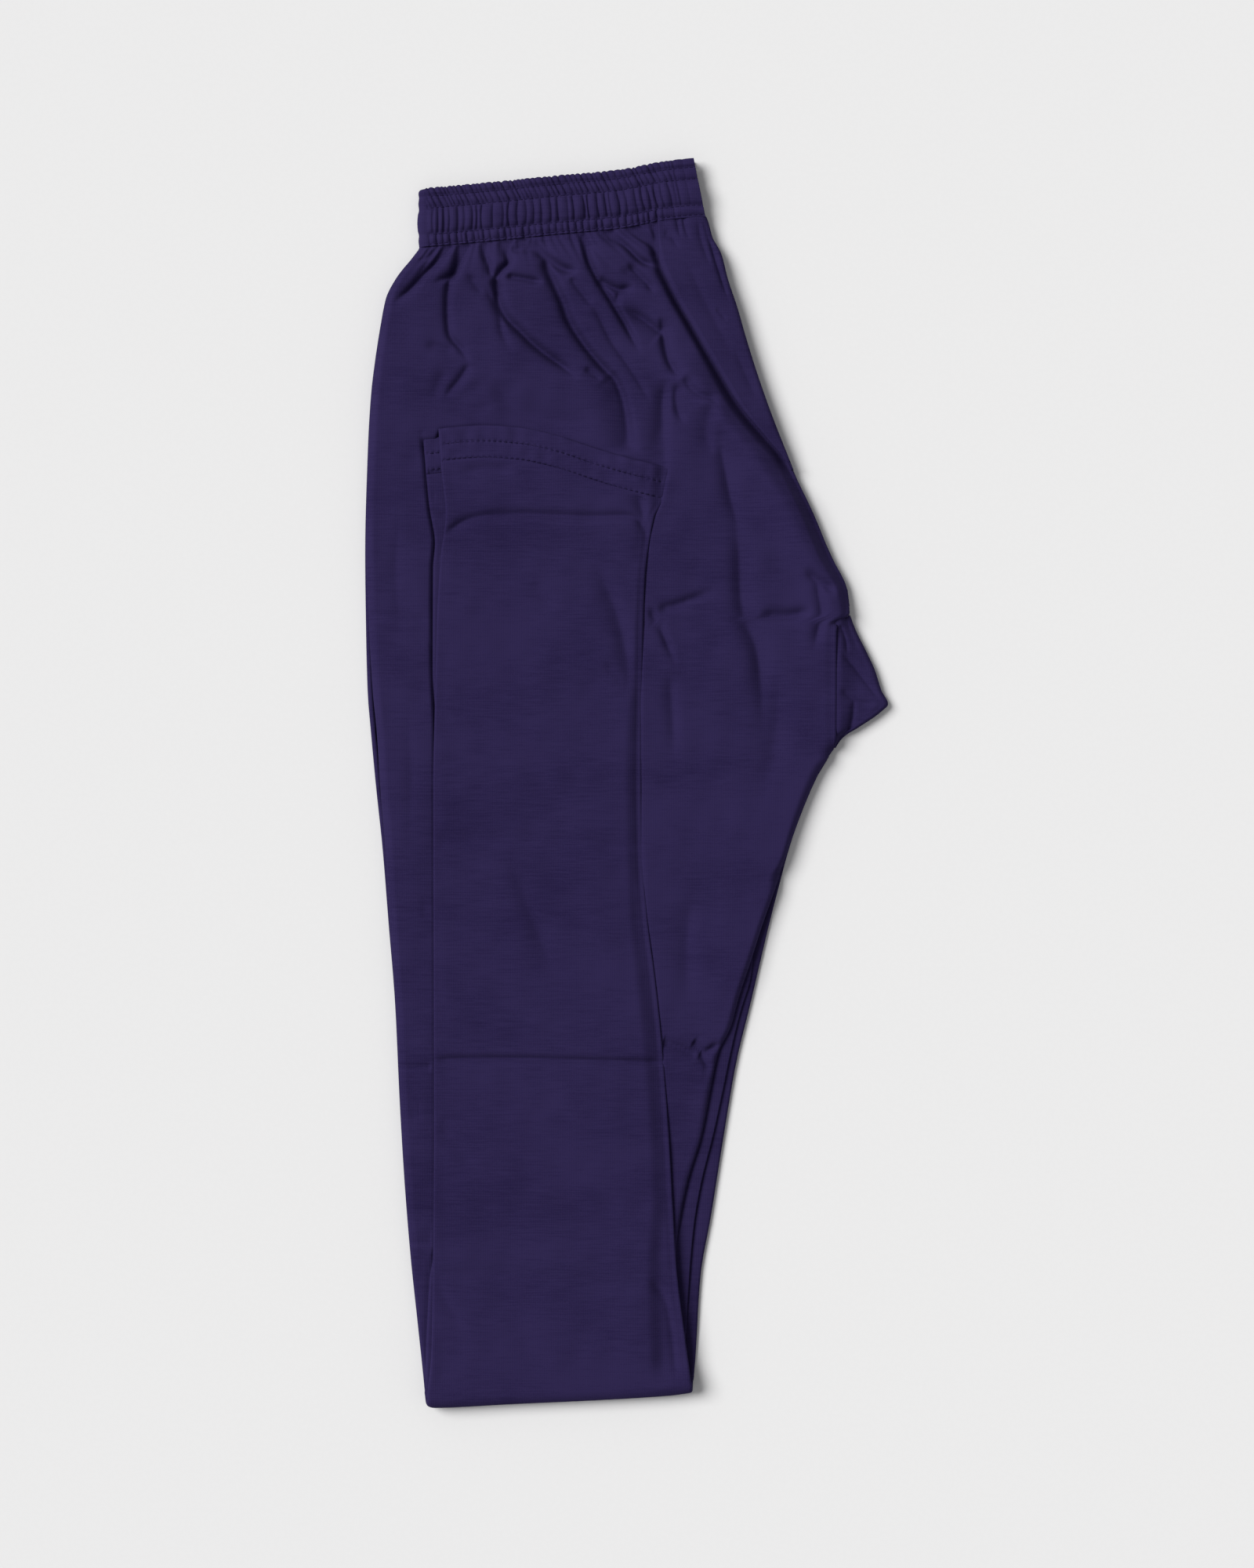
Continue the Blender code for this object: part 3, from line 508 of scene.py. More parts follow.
# The hidden plies of both thighs.
# Four thicknesses of the same jersey lie between the floor and the thigh that is seen. They are one rounded
# body here; at the lower right the second ply's edge stands out beyond the upper leg.
THIGH_FACE = 6.2 * MM
second_edge = reader(table("y x",
    (-54, 76), (-71, 72.5), (-102, 66.6), (-122, 60.4), (-143, 55.4), (-161, 51.7), (-186, 46.3),
    (-213, 39.6), (-235, 35.9), (-263, 33.4), (-323, 30)), "x")
upper_leg_right = reader(table("y x",
    (296, 37.2), (280, 45.9), (252, 54.2), (215, 65.4), (187, 75.2), (180, 81.4), (176, 83.8), (167, 87.6),
    (143, 99), (122, 107.7), (101, 117.3), (89.5, 118.2), (84, 111.6), (80, 111.0), (22, 111.0),
    (18, 109.8), (8, 103.1), (-13, 93.6), (-34, 86.1), (-54, 79.5), (-75, 72), (-92, 66.6), (-116, 58.7),
    (-128, 55.6), (-143, 48.5), (-157, 45.4), (-187, 39.6), (-210, 32.6), (-230, 28.4), (-246, 26.4),
    (-263, 26), (-300, 28), (-323, 30)), "x")
upper_leg_inset = reader(table("y x",
    (296, 0.4), (150, 0.4), (88, 1.7), (28, 3.3), (0, 2.5), (-56, 1.2), (-120, 0.4), (-300, 0.4),
    (-331, 3.0)), "x")


def upper_leg_left(y):
    return floor_leg_left(y) + upper_leg_inset(y)


def thigh_layers_grid():
    inset = 4.2 * MM
    rows = []

    def end_line(x):
        return knee_fold(x) + 10 * MM

    def top_line(x):
        return waist_seam(x) - 3 * MM

    for share in np.linspace(1, 0, 160):
        height = -318 * MM + 608 * MM * share
        shown = 1 - ease(-115 * MM, -66 * MM, height)

        def right_side(y):
            inner = min(upper_leg_right(y), floor_leg_right(y), 110 * MM) - inset
            return inner * (1 - shown) + (second_edge(y) - 0.2 * MM) * shown

        xl, _ = edge_point(end_line, top_line, upper_leg_left, share)
        xr, _ = edge_point(end_line, top_line, right_side, share)
        x, deep = section(xl + inset, xr, 26, 1, 1, 4 * MM, 4 * MM, 0.7 * MM)
        y = end_line(x) * (1 - share) + top_line(x) * share
        rows.append(np.stack([x, y, THIGH_FACE - 1.5 * MM - deep], 1))
    return np.array(rows)


thigh_layers = cloth_shell("inner_thigh_plies", thigh_layers_grid(), 1.0 * MM)
dress(thigh_layers, indigo, "thigh_layers")

# The upper leg: hip, thigh and crotch side as seen.
# The gathered waist throws soft, uneven folds over the hip, which die out towards the hem of the calf that
# lies on it; long low valleys run down from the crotch, and pressed creases cross the narrow left side.
HIP_FOLDS = (
    Fold(2.2, 1.5, 2.5, 2.5, ((-93, 286), (-100, 277), (-107, 269.5), (-113, 263), (-124, 253)), 0.02, 0.3),
    Fold(1.0, 0.6, 1.9, 1.9, ((-102, 283), (-106, 278), (-113, 275.5), (-118, 274)), 0.05, 0.4),
    Fold(2.7, 3.1, 2.0, 2.8, ((-84, 288), (-87, 280), (-90, 273), (-92, 269), (-98, 266.5), (-103, 264)),
         0.02, 0.4),
    Fold(2.0, 1.1, 2.5, 2.0, ((-92, 270), (-94, 264), (-95, 255), (-94.6, 243), (-93, 236), (-87, 229),
         (-83, 221)), 0.02, 0.25),
    Fold(0.8, 1.4, 2.5, 2.5, ((-83, 222), (-88, 214), (-93, 208), (-97, 202)), 0.15, 0.4),
    Fold(0.0, 1.1, 3.8, 3.8, ((-95, 220), (-100, 210), (-102, 200)), 0.3, 0.4),
    Fold(0.4, 1.0, 2.5, 2.5, ((-107, 232), (-99, 230.5), (-90, 228)), 0.3, 0.3),
    Fold(2.4, 1.1, 2.0, 2.0, ((-75, 288), (-75.3, 281), (-73, 275), (-72, 270), (-69, 267)), 0.02, 0.2),
    Fold(2.5, 1.8, 2.5, 2.8, ((-63.5, 288), (-63.5, 281), (-62.5, 276), (-66, 272), (-69.4, 267.5)),
         0.02, 0.02),
    Fold(2.8, 3.4, 2.8, 3.0, ((-69.4, 268), (-68.5, 262), (-67.5, 254), (-63.5, 246.5), (-57, 240),
         (-51, 234), (-43, 227.5), (-34, 221), (-25, 213.5)), 0.05, 0.22),
    Fold(0.8, 1.5, 2.5, 3.0, ((-77, 264), (-72, 258), (-67.5, 248), (-66, 240), (-63, 232), (-58, 228)),
         0.2, 0.4),
    Fold(0.6, 1.1, 2.5, 2.5, ((-84, 270), (-80, 264), (-74, 257)), 0.3, 0.4),
    Fold(2.8, 0.6, 1.8, 2.0, ((-64, 268.4), (-54, 266.8), (-43, 265)), 0.15, 0.3),
    Fold(2.7, 1.0, 1.9, 1.9, ((-62, 283), (-58.5, 282.6), (-55, 282.6)), 0.3, 0.3),
    Fold(3.2, 3.1, 2.2, 3.0, ((-55.5, 288), (-54, 284.6), (-48.5, 283.6), (-44, 279.5), (-38, 275),
         (-32, 272), (-25.5, 271)), 0.02, 0.2),
    Fold(3.2, 3.1, 2.0, 3.2, ((-44, 279), (-41.5, 272), (-38, 264), (-34, 255), (-31, 246.5), (-27, 239),
         (-20, 229), (-13, 221), (-8, 216)), 0.1, 0.05),
    Fold(2.2, 3.4, 1.8, 7.5, ((-11, 219), (-6, 214), (-2.5, 206), (-0.5, 198), (1, 188), (2.2, 174)),
         0.12, 0.12),
    Fold(1.3, 0.6, 2.0, 2.6, ((-22, 219.5), (-17, 216), (-12, 213)), 0.2, 0.3),
    Fold(1.0, 1.0, 1.9, 2.5, ((-29.5, 268.5), (-27, 264), (-22, 257.5), (-17, 251)), 0.15, 0.3),
    Fold(0.8, 1.0, 1.9, 2.5, ((-37, 262), (-33, 255), (-29, 248)), 0.3, 0.4),
    Fold(3.2, 1.8, 2.0, 2.2, ((-22.6, 289), (-20.5, 278), (-16, 268), (-9.5, 257.5), (-5, 250), (0, 241.5),
         (8, 226)), 0.02, 0.3),
    Fold(2.2, 2.5, 2.0, 3.2, ((-15, 267), (-9, 263.2), (-3.8, 261.3), (0, 261.8), (4.5, 263)), 0.1, 0.35),
    Fold(1.4, 1.1, 2.0, 2.0, ((-3.4, 261), (-5, 256), (-6.5, 252)), 0.2, 0.3),
    Fold(2.8, 1.8, 2.0, 2.2, ((-12, 297), (-8, 290), (0, 284), (6, 278), (10, 275.5), (16.5, 273)),
         0.02, 0.2),
    Fold(3.2, 2.5, 2.2, 2.2, ((0.5, 296), (7, 290.5), (12, 287), (15.5, 283)), 0.05, 0.02),
    Fold(1.4, 1.5, 2.2, 2.2, ((0.5, 275), (6, 269.5), (11, 264.5), (15.5, 258)), 0.2, 0.3),
    Fold(0.4, 1.0, 2.5, 2.5, ((-4, 272), (4, 268), (12, 262)), 0.3, 0.3),
    Fold(1.2, 3.0, 2.4, 5.0, ((-5, 251.5), (4, 248.5), (10, 244.8), (18.5, 238)), 0.5, 0.04),
    Fold(1.6, 2.6, 4.5, 2.4, ((18.3, 247), (19, 240), (20.5, 230), (23, 222), (29, 213)), 0.2, 0.25),
    Fold(0.8, 1.8, 3.2, 2.8, ((27, 212), (26.3, 203), (28, 195), (31, 189)), 0.2, 0.4),
    Fold(0.4, 2.9, 3.0, 4.6, ((20.5, 214), (19.3, 200), (19.3, 190), (18.6, 178), (19.5, 164)), 0.2, 0.2),
    Fold(0.8, 2.0, 3.2, 3.2, ((30, 216), (34, 209), (39, 205), (45, 203), (49, 198)), 0.2, 0.3),
    Fold(0.0, 2.6, 4.5, 4.5, ((46, 204), (43.5, 192), (43.5, 182), (46, 170)), 0.3, 0.4),
    Fold(0.2, 2.5, 5.0, 3.8, ((48, 196), (50, 180), (52, 168), (55, 152), (58, 140), (60, 126)),
         0.25, 0.35),
    Fold(0.8, 0.8, 1.9, 1.9, ((-20, 256), (-14, 246), (-8, 234), (1, 221), (8, 210), (14.5, 197)),
         0.2, 0.3),
    Fold(3.2, 2.8, 2.2, 2.2, ((16.8, 298), (16.2, 290), (15.6, 284), (16.5, 278)), 0.02, 0.1),
    Fold(0.0, 2.4, 8.5, 7.5, ((-71, 215), (-64, 203), (-56, 197), (-45, 194), (-32, 191), (-14, 190)),
         0.2, 0.3),
    Fold(0.0, 1.0, 7.5, 7.5, ((-82, 214), (-76, 204), (-72, 194)), 0.3, 0.3),
)
THIGH_FOLDS = (
    Fold(0.2, 3.0, 6.5, 4.5, ((57, 142), (59.5, 123), (60.5, 100), (63, 86), (68, 74), (71, 56),
         (72.5, 20)), 0.2, 0.4),
    Fold(1.2, 3.0, 2.6, 2.6, ((68, 89), (80, 88.6), (90, 89.4), (99, 92)), 0.3, 0.3),
    Fold(0.8, 2.6, 3.2, 3.2, ((94, 113), (99, 108.5), (106, 104), (112, 101)), 0.3, 0.3),
    Fold(0.6, 2.2, 3.2, 3.6, ((100, 110), (101.5, 101), (103, 93), (103, 87), (101, 79), (98.5, 70)),
         0.2, 0.3),
    Fold(2.0, 1.0, 1.8, 2.2, ((16, 91.5), (27, 94.5), (36, 98), (48, 102)), 0.15, 0.35),
    Fold(1.4, 1.0, 1.8, 2.2, ((12, 92), (18, 82), (22, 73), (27, 62)), 0.1, 0.4),
    Fold(0.0, 1.5, 3.1, 3.6, ((22.6, 58), (24.5, 36), (25, 13)), 0.2, 0.4),
    Fold(0.5, 0.8, 1.9, 1.9, ((50.8, -51), (64, -51.5), (78, -53)), 0.3, 0.3),
    Fold(0.0, 1.6, 7.2, 7.2, ((78, 70), (80, 40), (76, 8), (70, -20)), 0.3, 0.4),
    Fold(2.0, 1.1, 1.9, 1.9, ((35, -136.5), (41, -142.3), (49, -138)), 0.1, 0.1),
    Fold(1.8, 0.8, 1.9, 1.9, ((38.8, -143), (42, -148), (45.5, -153)), 0.1, 0.3),
    Fold(1.2, 1.1, 2.2, 2.2, ((19, -137), (28, -140), (38.4, -144)), 0.05, 0.2),
    Fold(0.0, 1.5, 4.8, 4.8, ((34, -60), (32, -90), (36, -120)), 0.3, 0.4),
)
SIDE_CREASES = (
    Fold(0.6, 0.5, 2.0, 2.0, ((-137, 89.4), (-120, 88), (-104, 85.5)), 0.1, 0.2),
    Fold(1.1, 0.5, 1.8, 1.8, ((-129, -67.8), (-115, -68.6), (-103, -67.4)), 0.02, 0.1),
    Fold(1.0, 0.5, 1.8, 1.8, ((-123, -150), (-112, -150.6), (-103, -150)), 0.02, 0.1),
    Fold(0.8, 0.5, 1.6, 1.6, ((-116, -243.2), (-109, -243), (-103, -242.6)), 0.02, 0.1),
    Fold(0.4, 0.5, 2.0, 2.0, ((-120, -178.4), (-113, -176), (-107.5, -171.8)), 0.2, 0.2),
    Fold(0.0, 0.6, 3.0, 3.0, ((-120, 150), (-122, 110), (-119, 70)), 0.3, 0.4),
    Fold(0.0, 0.5, 3.0, 3.0, ((-116, 40), (-114, 0), (-116, -40)), 0.3, 0.4),
)
# The left edge of the calf that lies on the thigh
under_calf_left = reader(table("y x",
    (184, -107.9), (163, -106.1), (146, -104.4), (127, -101.5), (114, -102.5), (61, -102.7), (29, -101.0),
    (-240, -100.6), (-263, -104.4), (-317, -106.4), (-331, -106.4)), "x")
flap_edge = reader(table("y x",
    (300, 16.4), (278, 17.2), (262, 23.4), (241, 35.1), (219, 47.9), (200, 59.6), (180, 76.4), (172, 83.4),
    (163, 88.5), (150, 100), (120, 128)), "x")


# Valleys of the gathers where the casing lets the hip go: place along the seam, how many millimetres each
# leans to the right in a metre down, its depth, and how soon it dies out
GATHERS = table("x lean depth reach",
    (-107, -700, 0.7, 5), (-104, -750, 0.9, 6), (-100, -700, 1.2, 9), (-96.5, -600, 0.9, 7),
    (-93, -600, 1.3, 8), (-89, -100, 1.2, 9), (-86.5, -300, 0.6, 5), (-84, -500, 1.4, 8),
    (-80, -200, 0.8, 7), (-77.5, 0, 0.5, 4), (-75, 0, 1.3, 9), (-71.5, 0, 0.8, 6), (-67, 100, 0.8, 7),
    (-63.5, 0, 1.3, 9), (-60.5, 100, 0.9, 5), (-58, 200, 0.7, 5), (-54, 200, 1.4, 6), (-50.5, 100, 0.9, 5),
    (-47.5, 200, 0.6, 5), (-44, 350, 1.2, 8), (-40, 500, 0.8, 6), (-36.5, 600, 0.9, 8), (-33, 400, 0.6, 5),
    (-30, 400, 1.3, 9), (-26, 900, 1.2, 11), (-22.5, 100, 1.3, 10), (-19, 500, 0.7, 5), (-15, 900, 1.3, 9),
    (-12, 700, 1.2, 8), (-7, 700, 0.8, 6), (-3.5, 1000, 1.0, 8), (0.5, 1000, 1.3, 9), (4, 800, 0.8, 6),
    (7, 700, 1.3, 9), (10, 500, 0.8, 6), (12.5, 500, 1.4, 9), (16.5, 0, 1.7, 10), (20, 100, 0.4, 4),
    (26, 200, 0.8, 6), (29.5, 700, 0.5, 6))


def valleys(x, places, depths, width):
    """Narrow valleys with wider soft flanks, at the given places."""
    sunk = np.zeros(np.shape(x))
    for place, depth in zip(places, depths):
        away = np.abs(x - place)
        narrow = 0.65 * np.exp(-((away / width) ** 1.4))
        sunk = np.maximum(sunk, depth * (narrow + 0.35 * bell(away, 2.6 * width)))
    return sunk


def hip_gathers(x, y):
    """The gathers let go by the waist seam."""
    below = np.clip(waist_seam(x) - y, 0, 1)
    places = [at + lean * below for at, lean in zip(GATHERS["x"], GATHERS["lean"])]
    depths = [1.9 * depth * np.exp(-((below / (1.3 * reach)) ** 1.5))
              for depth, reach in zip(GATHERS["depth"], GATHERS["reach"])]
    return valleys(x, places, depths, 0.95 * MM)


def beside_calf(x, y):
    """1 on the open cloth to the left of the calves, 0 under them."""
    return ease(-1.5 * MM, 2 * MM, under_calf_left(y) - x)


def open_cloth(x, y):
    """1 where the thigh is open to view, 0 where the calves and their hems lie on it."""
    right_of_calf = ease(-6 * MM, 1 * MM, x - calf_right(y))
    hem_step = 4 * MM * ease(1 * MM, -2 * MM, x - calf_left(y))
    above_hem = ease(-5 * MM, 1 * MM, y - hem_line(x) + hem_step)
    return np.maximum(np.maximum(right_of_calf, beside_calf(x, y)), above_hem)


def rise_from_flap(x, y):
    """How the cloth rises beside the turned-over edge: its share of full height, and the hollow there."""
    lower = ease(235 * MM, 180 * MM, y)
    to_flap = flap_edge(y) - x
    near = np.clip((to_flap - 0.9 * MM) / ((3.5 + 3 * lower) * MM), 0, 1)
    far = np.clip(to_flap / ((6 + 12 * lower) * MM), 0, 1)
    at_flap = ease(160 * MM, 172 * MM, y)
    share = 1 - at_flap * (0.74 * (1 - near) ** 1.2 + 0.26 * (1 - far) ** 2)
    hollow = at_flap * bell(to_flap - 2 * MM, 3.2 * MM) * ease(296 * MM, 280 * MM, y)
    return share, hollow


def crotch_side(y):
    """1 along the crotch edge between the gusset and the turned-over edge, 0 elsewhere."""
    return ease(84 * MM, 118 * MM, y) * (1 - ease(176 * MM, 190 * MM, y))


def rise_from_right(x, y):
    """How the cloth rises from the right edge: steep along the crotch, almost level at the gusset's seam."""
    crotch = crotch_side(y)
    to_right = upper_leg_right(y) - x
    slope = (2.6 + 3 * ease(-60 * MM, 20 * MM, y) + 0.6 * crotch) * MM
    near = np.clip((to_right - 1.0 * MM * crotch) / slope, 0, 1)
    far = np.clip(to_right / (17 * MM), 0, 1)
    far_share = 0.25 * crotch
    share = 1 - (1 - far_share) * (1 - near) ** (2 - 0.9 * crotch) - far_share * (1 - far) ** 2
    at_gusset = ease(10 * MM, 24 * MM, y) * (1 - ease(80 * MM, 104 * MM, y))
    return np.maximum(share, 0.9 * at_gusset)


# How many millimetres the cloth puffs over its plies at the hip, on the thigh, along the crest beside the
# turned-over edge, and just under the waist seam
HIP_PUFF = 4.8
THIGH_PUFF = 2.3
CREST_PUFF = 6.4
SEAM_PUFF = 1.8


def thigh_puff(x, y):
    """How high the open cloth stands over its plies between its edges, before its folds."""
    left_side = ease(-84 * MM, -108 * MM, x)
    right_side = ease(-60 * MM, 10 * MM, x)
    hip = ease((130 + 26 * left_side) * MM, 215 * MM, y)
    thigh = (THIGH_PUFF + 0.7 * right_side) * ease(-330 * MM, 0 * MM, y) + 0.5 * right_side
    to_side = upper_leg_right(np.maximum(y, 92 * MM)) - x
    crest = bell(np.minimum(flap_edge(y) - x, to_side + 4 * MM) - 16 * MM, 11 * MM)
    crest = crest * ease(60 * MM, 130 * MM, y) * (1 - ease(205 * MM, 235 * MM, y))
    puff = (HIP_PUFF * hip + thigh * (1 - hip) + CREST_PUFF * crest + 0.3) * MM
    puff = puff + (SEAM_PUFF * MM - puff) * bell(np.clip(waist_seam(x) - y, 0, 1), 9 * MM)
    return puff + 0.45 * MM * soft_waves(x, y, 21, 48, 1.6) + 0.16 * MM * soft_waves(x, y, 22, 15, 1.4)


def thigh_relief(x, y):
    """The thigh's height over its plies: puffed between the folds, flat under what lies on it."""
    from_flap, hollow = rise_from_flap(x, y)
    from_right = rise_from_right(x, y)
    from_left = ease(-1 * MM, 4.5 * MM, x - upper_leg_left(y))
    crotch = crotch_side(y)
    folds = 1.2 * np.hypot(fold_field(x, y, HIP_FOLDS), fold_field(x, y, THIGH_FOLDS))
    height = thigh_puff(x, y) - hip_gathers(x, y) - folds
    height = height * open_cloth(x, y) * from_flap * from_left * from_right
    height = np.maximum(height, -0.6 * MM) - 1.0 * MM * hollow - 1.3 * MM * crotch * (1 - from_right)
    height = height + 1.9 * MM * crotch * bell(upper_leg_right(y) - x - 0.3 * MM, 0.8 * MM)
    groove = bell(np.maximum(under_calf_left(y) - x, 0), 1.1 * MM)
    height = height - 0.8 * MM * groove * beside_calf(x, y) * (y < hem_line(x))
    under_band = ease(0.9 * MM, -0.5 * MM, waist_seam(x) - y)
    height = height + (0.3 * MM - height) * under_band
    return height - fold_field(x, y, SIDE_CREASES)


# How far apart the rows of the mesh are, closer where there are folds
UPPER_LEG_ROWS = table("y apart",
    (301, 0.78), (176, 0.78), (160, 1.5), (110, 1.4), (80, 1.5), (56, 2.6), (0, 4.5), (-60, 4.5),
    (-64, 1.1), (-71, 1.1), (-75, 5), (-130, 5), (-134, 1.3), (-154, 1.1), (-158, 5), (-172, 3), (-182, 3),
    (-236, 5), (-240, 1.2), (-247, 1.2), (-252, 6), (-322, 7))


def tucked_seam(x):
    return waist_seam(x) + 1.6 * MM


def upper_leg_grid():
    sections = []

    def end_line(x):
        return knee_fold(x) + 8 * MM

    for share in uneven_rows(301 * MM, -322 * MM, UPPER_LEG_ROWS):
        xl, yl = edge_point(end_line, tucked_seam, upper_leg_left, share)
        xr, yr = edge_point(end_line, tucked_seam, upper_leg_right, share)
        beside_gusset = ease(10 * MM, 21 * MM, yr) * (1 - ease(82 * MM, 95 * MM, yr))
        under_flap = ease(172 * MM, 184 * MM, yr)
        over_floor_leg = 1 - ease(-58 * MM, -26 * MM, yr)
        hidden = 1 - 0.9 * (1 - ease(150 * MM, 195 * MM, yl))
        quiet = (calf_left(yl) + 2 * MM, calf_right(yr) - 2 * MM, hidden)
        x, deep = section(xl, xr, 232, 1, 1 - max(beside_gusset, under_flap, over_floor_leg), quiet=quiet)
        sections.append((x, end_line(x) * (1 - share) + tucked_seam(x) * share, deep))
    x, y, deep = (np.array(part) for part in zip(*sections))
    relief = softened(thigh_relief(x, y)) * np.clip(1 - deep / (2 * ROLL), 0, 1)
    return np.stack([x, y, THIGH_FACE - deep + relief], 2)


upper_leg = cloth_shell("upper_leg_cloth", upper_leg_grid())
dress(upper_leg, indigo, "upper_leg")

# The rise of the upper leg, turned over.
# The crotch-seam side of the hip is folded onto itself: a slanting soft edge that stands clear of the thigh
# on its left and rolls down the side of the trousers on its right.
FLAP_FOLDS = (
    Fold(1.4, 0.5, 1.5, 1.5, ((42, 296), (43.5, 291), (46.7, 278.5), (50, 268), (54, 255)), 0.02, 0.3),
    Fold(0.0, 0.8, 3.0, 3.0, ((30, 280), (38, 262), (50, 238), (60, 220)), 0.3, 0.4),
    Fold(1.0, 0.5, 1.5, 1.5, ((26.5, 300), (27.5, 294), (29, 288)), 0.05, 0.5),
    Fold(0.8, 0.5, 1.5, 1.5, ((30, 300), (31, 294), (34, 287)), 0.05, 0.5),
    Fold(0.4, 0.7, 2.0, 2.0, ((20, 292), (24, 289), (28, 282)), 0.1, 0.5),
    Fold(0.0, 0.7, 2.4, 2.4, ((56, 232), (64, 214), (70, 200)), 0.3, 0.4),
    Fold(0.3, 0.7, 2.0, 2.0, ((38, 296), (40, 286), (45, 272)), 0.05, 0.4),
    Fold(0.4, 0.4, 1.5, 1.5, ((47, 251), (51, 247), (53, 244)), 0.2, 0.4),
)


def flap_grid():
    rows = []
    for height in np.linspace(297, 166, 150):
        yl = height * MM
        xl = flap_edge(yl)
        xr = floor_leg_right(yl) - 0.1 * MM
        width = xr - xl
        left_radius = min(2.7 * MM * ease(300, 270, height) + 0.3 * MM, width * 0.17)
        right_radius = min(2.25 * MM, width * 0.25)
        left_in, left_deep = roll_edge(1, left_radius, 1.2 * MM)
        right_in, right_deep = roll_edge(1, right_radius, 0.8 * MM)
        first = xl + left_in[0]
        last = xr - right_in[0]
        flat = first + (last - first) * np.linspace(0, 1, 60)[1:-1]
        x = np.concatenate([xl + left_in[::-1], flat, xr - right_in])
        deep = np.concatenate([left_deep[::-1], flat * 0, right_deep])
        across = np.clip((x - first) / max(last - first, MM), 0, 1)
        y = yl + (tucked_seam(x) - yl) * ease(288, 297, height)
        tail = ease(166, 196, height)
        stands = ease(297, 262, height) * ease(150, 185, height)
        falls = min(1.0, width / (26 * MM)) * (1 - across)
        top = (7.4 + 2.7 * stands + (1.2 + 1.4 * stands) * falls - 1.4 * (1 - tail)) * MM
        let_go = ease(0, 16 * MM, waist_seam(x) - y)
        top = 7.5 * MM + (top - 7.5 * MM) * let_go
        loose = ease(0, 4 * MM, np.minimum(x - xl, xr - x))
        relief = 0.25 * MM * soft_waves(x, y, 31, 30, 1.6) - fold_field(x, y, FLAP_FOLDS)
        rows.append(np.stack([x, y, top - deep + relief * loose], 1))
    return np.array(rows)


flap = cloth_shell("rise_flap_cloth", flap_grid())
dress(flap, indigo, "rise_flap")

# The gusset.
# A small diamond of jersey let in where the legs meet, folded across its middle so that its point stands
# out to the right; the seam that joins it to the leg is a straight line of overlock.
gusset_point = reader(table("y x",
    (89.5, 118.6), (86, 119.8), (80, 122.2), (70, 127.2), (60, 131.8), (49, 135.4), (42, 138.8),
    (38, 135.2), (29, 122.2), (25.6, 116.6), (22.3, 113.3), (20, 111.8), (18.6, 111.0)), "x")
GUSSET_FOLDS = (
    Fold(0.8, 0.7, 1.5, 1.8, ((120.6, 46), (120, 36), (118, 27)), 0.3, 0.1),
    Fold(0.6, 0.8, 1.5, 2.4, ((113, 70), (122, 60), (134, 44)), 0.2, 0.3),
    Fold(0.4, 0.7, 1.5, 2.0, ((113, 50), (121, 44), (131, 41)), 0.2, 0.3),
    Fold(0.7, 0.4, 1.2, 1.6, ((113, 84), (116, 76), (117, 66)), 0.1, 0.4),
)
GUSSET_SEAM = 110.4 * MM
GUSSET_STAND = 3.3 * MM


def gusset_grid():
    rows = []
    for height in np.linspace(89.0, 18.8, 110):
        y = height * MM
        reach = gusset_point(y) - GUSSET_SEAM
        radius = min(THIGH_FACE / 2, reach * 0.36)
        turn = gusset_point(y) - radius
        along = np.linspace(0, 1, 34)
        from_seam = (turn - GUSSET_SEAM) * along
        top_x = GUSSET_SEAM + from_seam
        top_y = top_x * 0 + y
        beside_leg = (1 - ease(0, 13 * MM, from_seam)) * (1 - along**3) * ease(16 * MM, 30 * MM, y)
        top_z = THIGH_FACE + GUSSET_STAND * beside_leg - (THIGH_FACE - 2 * radius) * ease(0, 1, along)
        loose = ease(0, 4 * MM, np.minimum(from_seam, turn - top_x))
        top_z = top_z + loose * (0.25 * MM * soft_waves(top_x, top_y, 41, 16) + 0.5 * MM)
        top_z = top_z - 0.15 * MM * np.exp(-from_seam / (0.8 * MM))
        top_z = top_z - fold_field(top_x, top_y, GUSSET_FOLDS)
        angles = np.radians(np.linspace(0, 180, 14)[1:-1])
        x = np.concatenate([top_x, turn + radius * np.sin(angles), top_x[::-1]])
        z = np.concatenate([top_z, radius * (1 + np.cos(angles)), top_x * 0])
        rows.append(np.stack([x, x * 0 + y, z], 1))
    return np.array(rows)


gusset = cloth_shell("gusset_cloth", gusset_grid())
dress(gusset, indigo, "gusset")

# The calf of the upper leg.
# Its two plies lie between the thigh and the top panel. Only its left edge is seen: a strip that widens
# towards its hem, and again at the knee fold.
UNDER_CALF_FACE = 9.4 * MM
under_calf_right = reader(table("y x",
    (184, 16), (0, 0.2), (-71, 2.3), (-103, 5.6), (-144, 9.8), (-183, 12.7), (-221, 13.9), (-253, 11.8),
    (-331, 14)), "x")
UNDER_CALF_FOLDS = (
    Fold(0.9, 0.3, 1.2, 1.2, ((-106, 142.6), (-100, 142.2), (-95, 141)), 0.02, 0.1),
    Fold(0.6, 0.2, 1.0, 1.0, ((-107, 152), (-101, 151)), 0.02, 0.1),
    Fold(0.6, 0.2, 1.2, 1.2, ((-104, 120), (-98, 119)), 0.02, 0.1),
    Fold(0.5, 0.2, 1.0, 1.0, ((-107, -280), (-100, -282)), 0.02, 0.1),
)


def under_hem_line(x):
    return hem_line(x) - 4 * MM


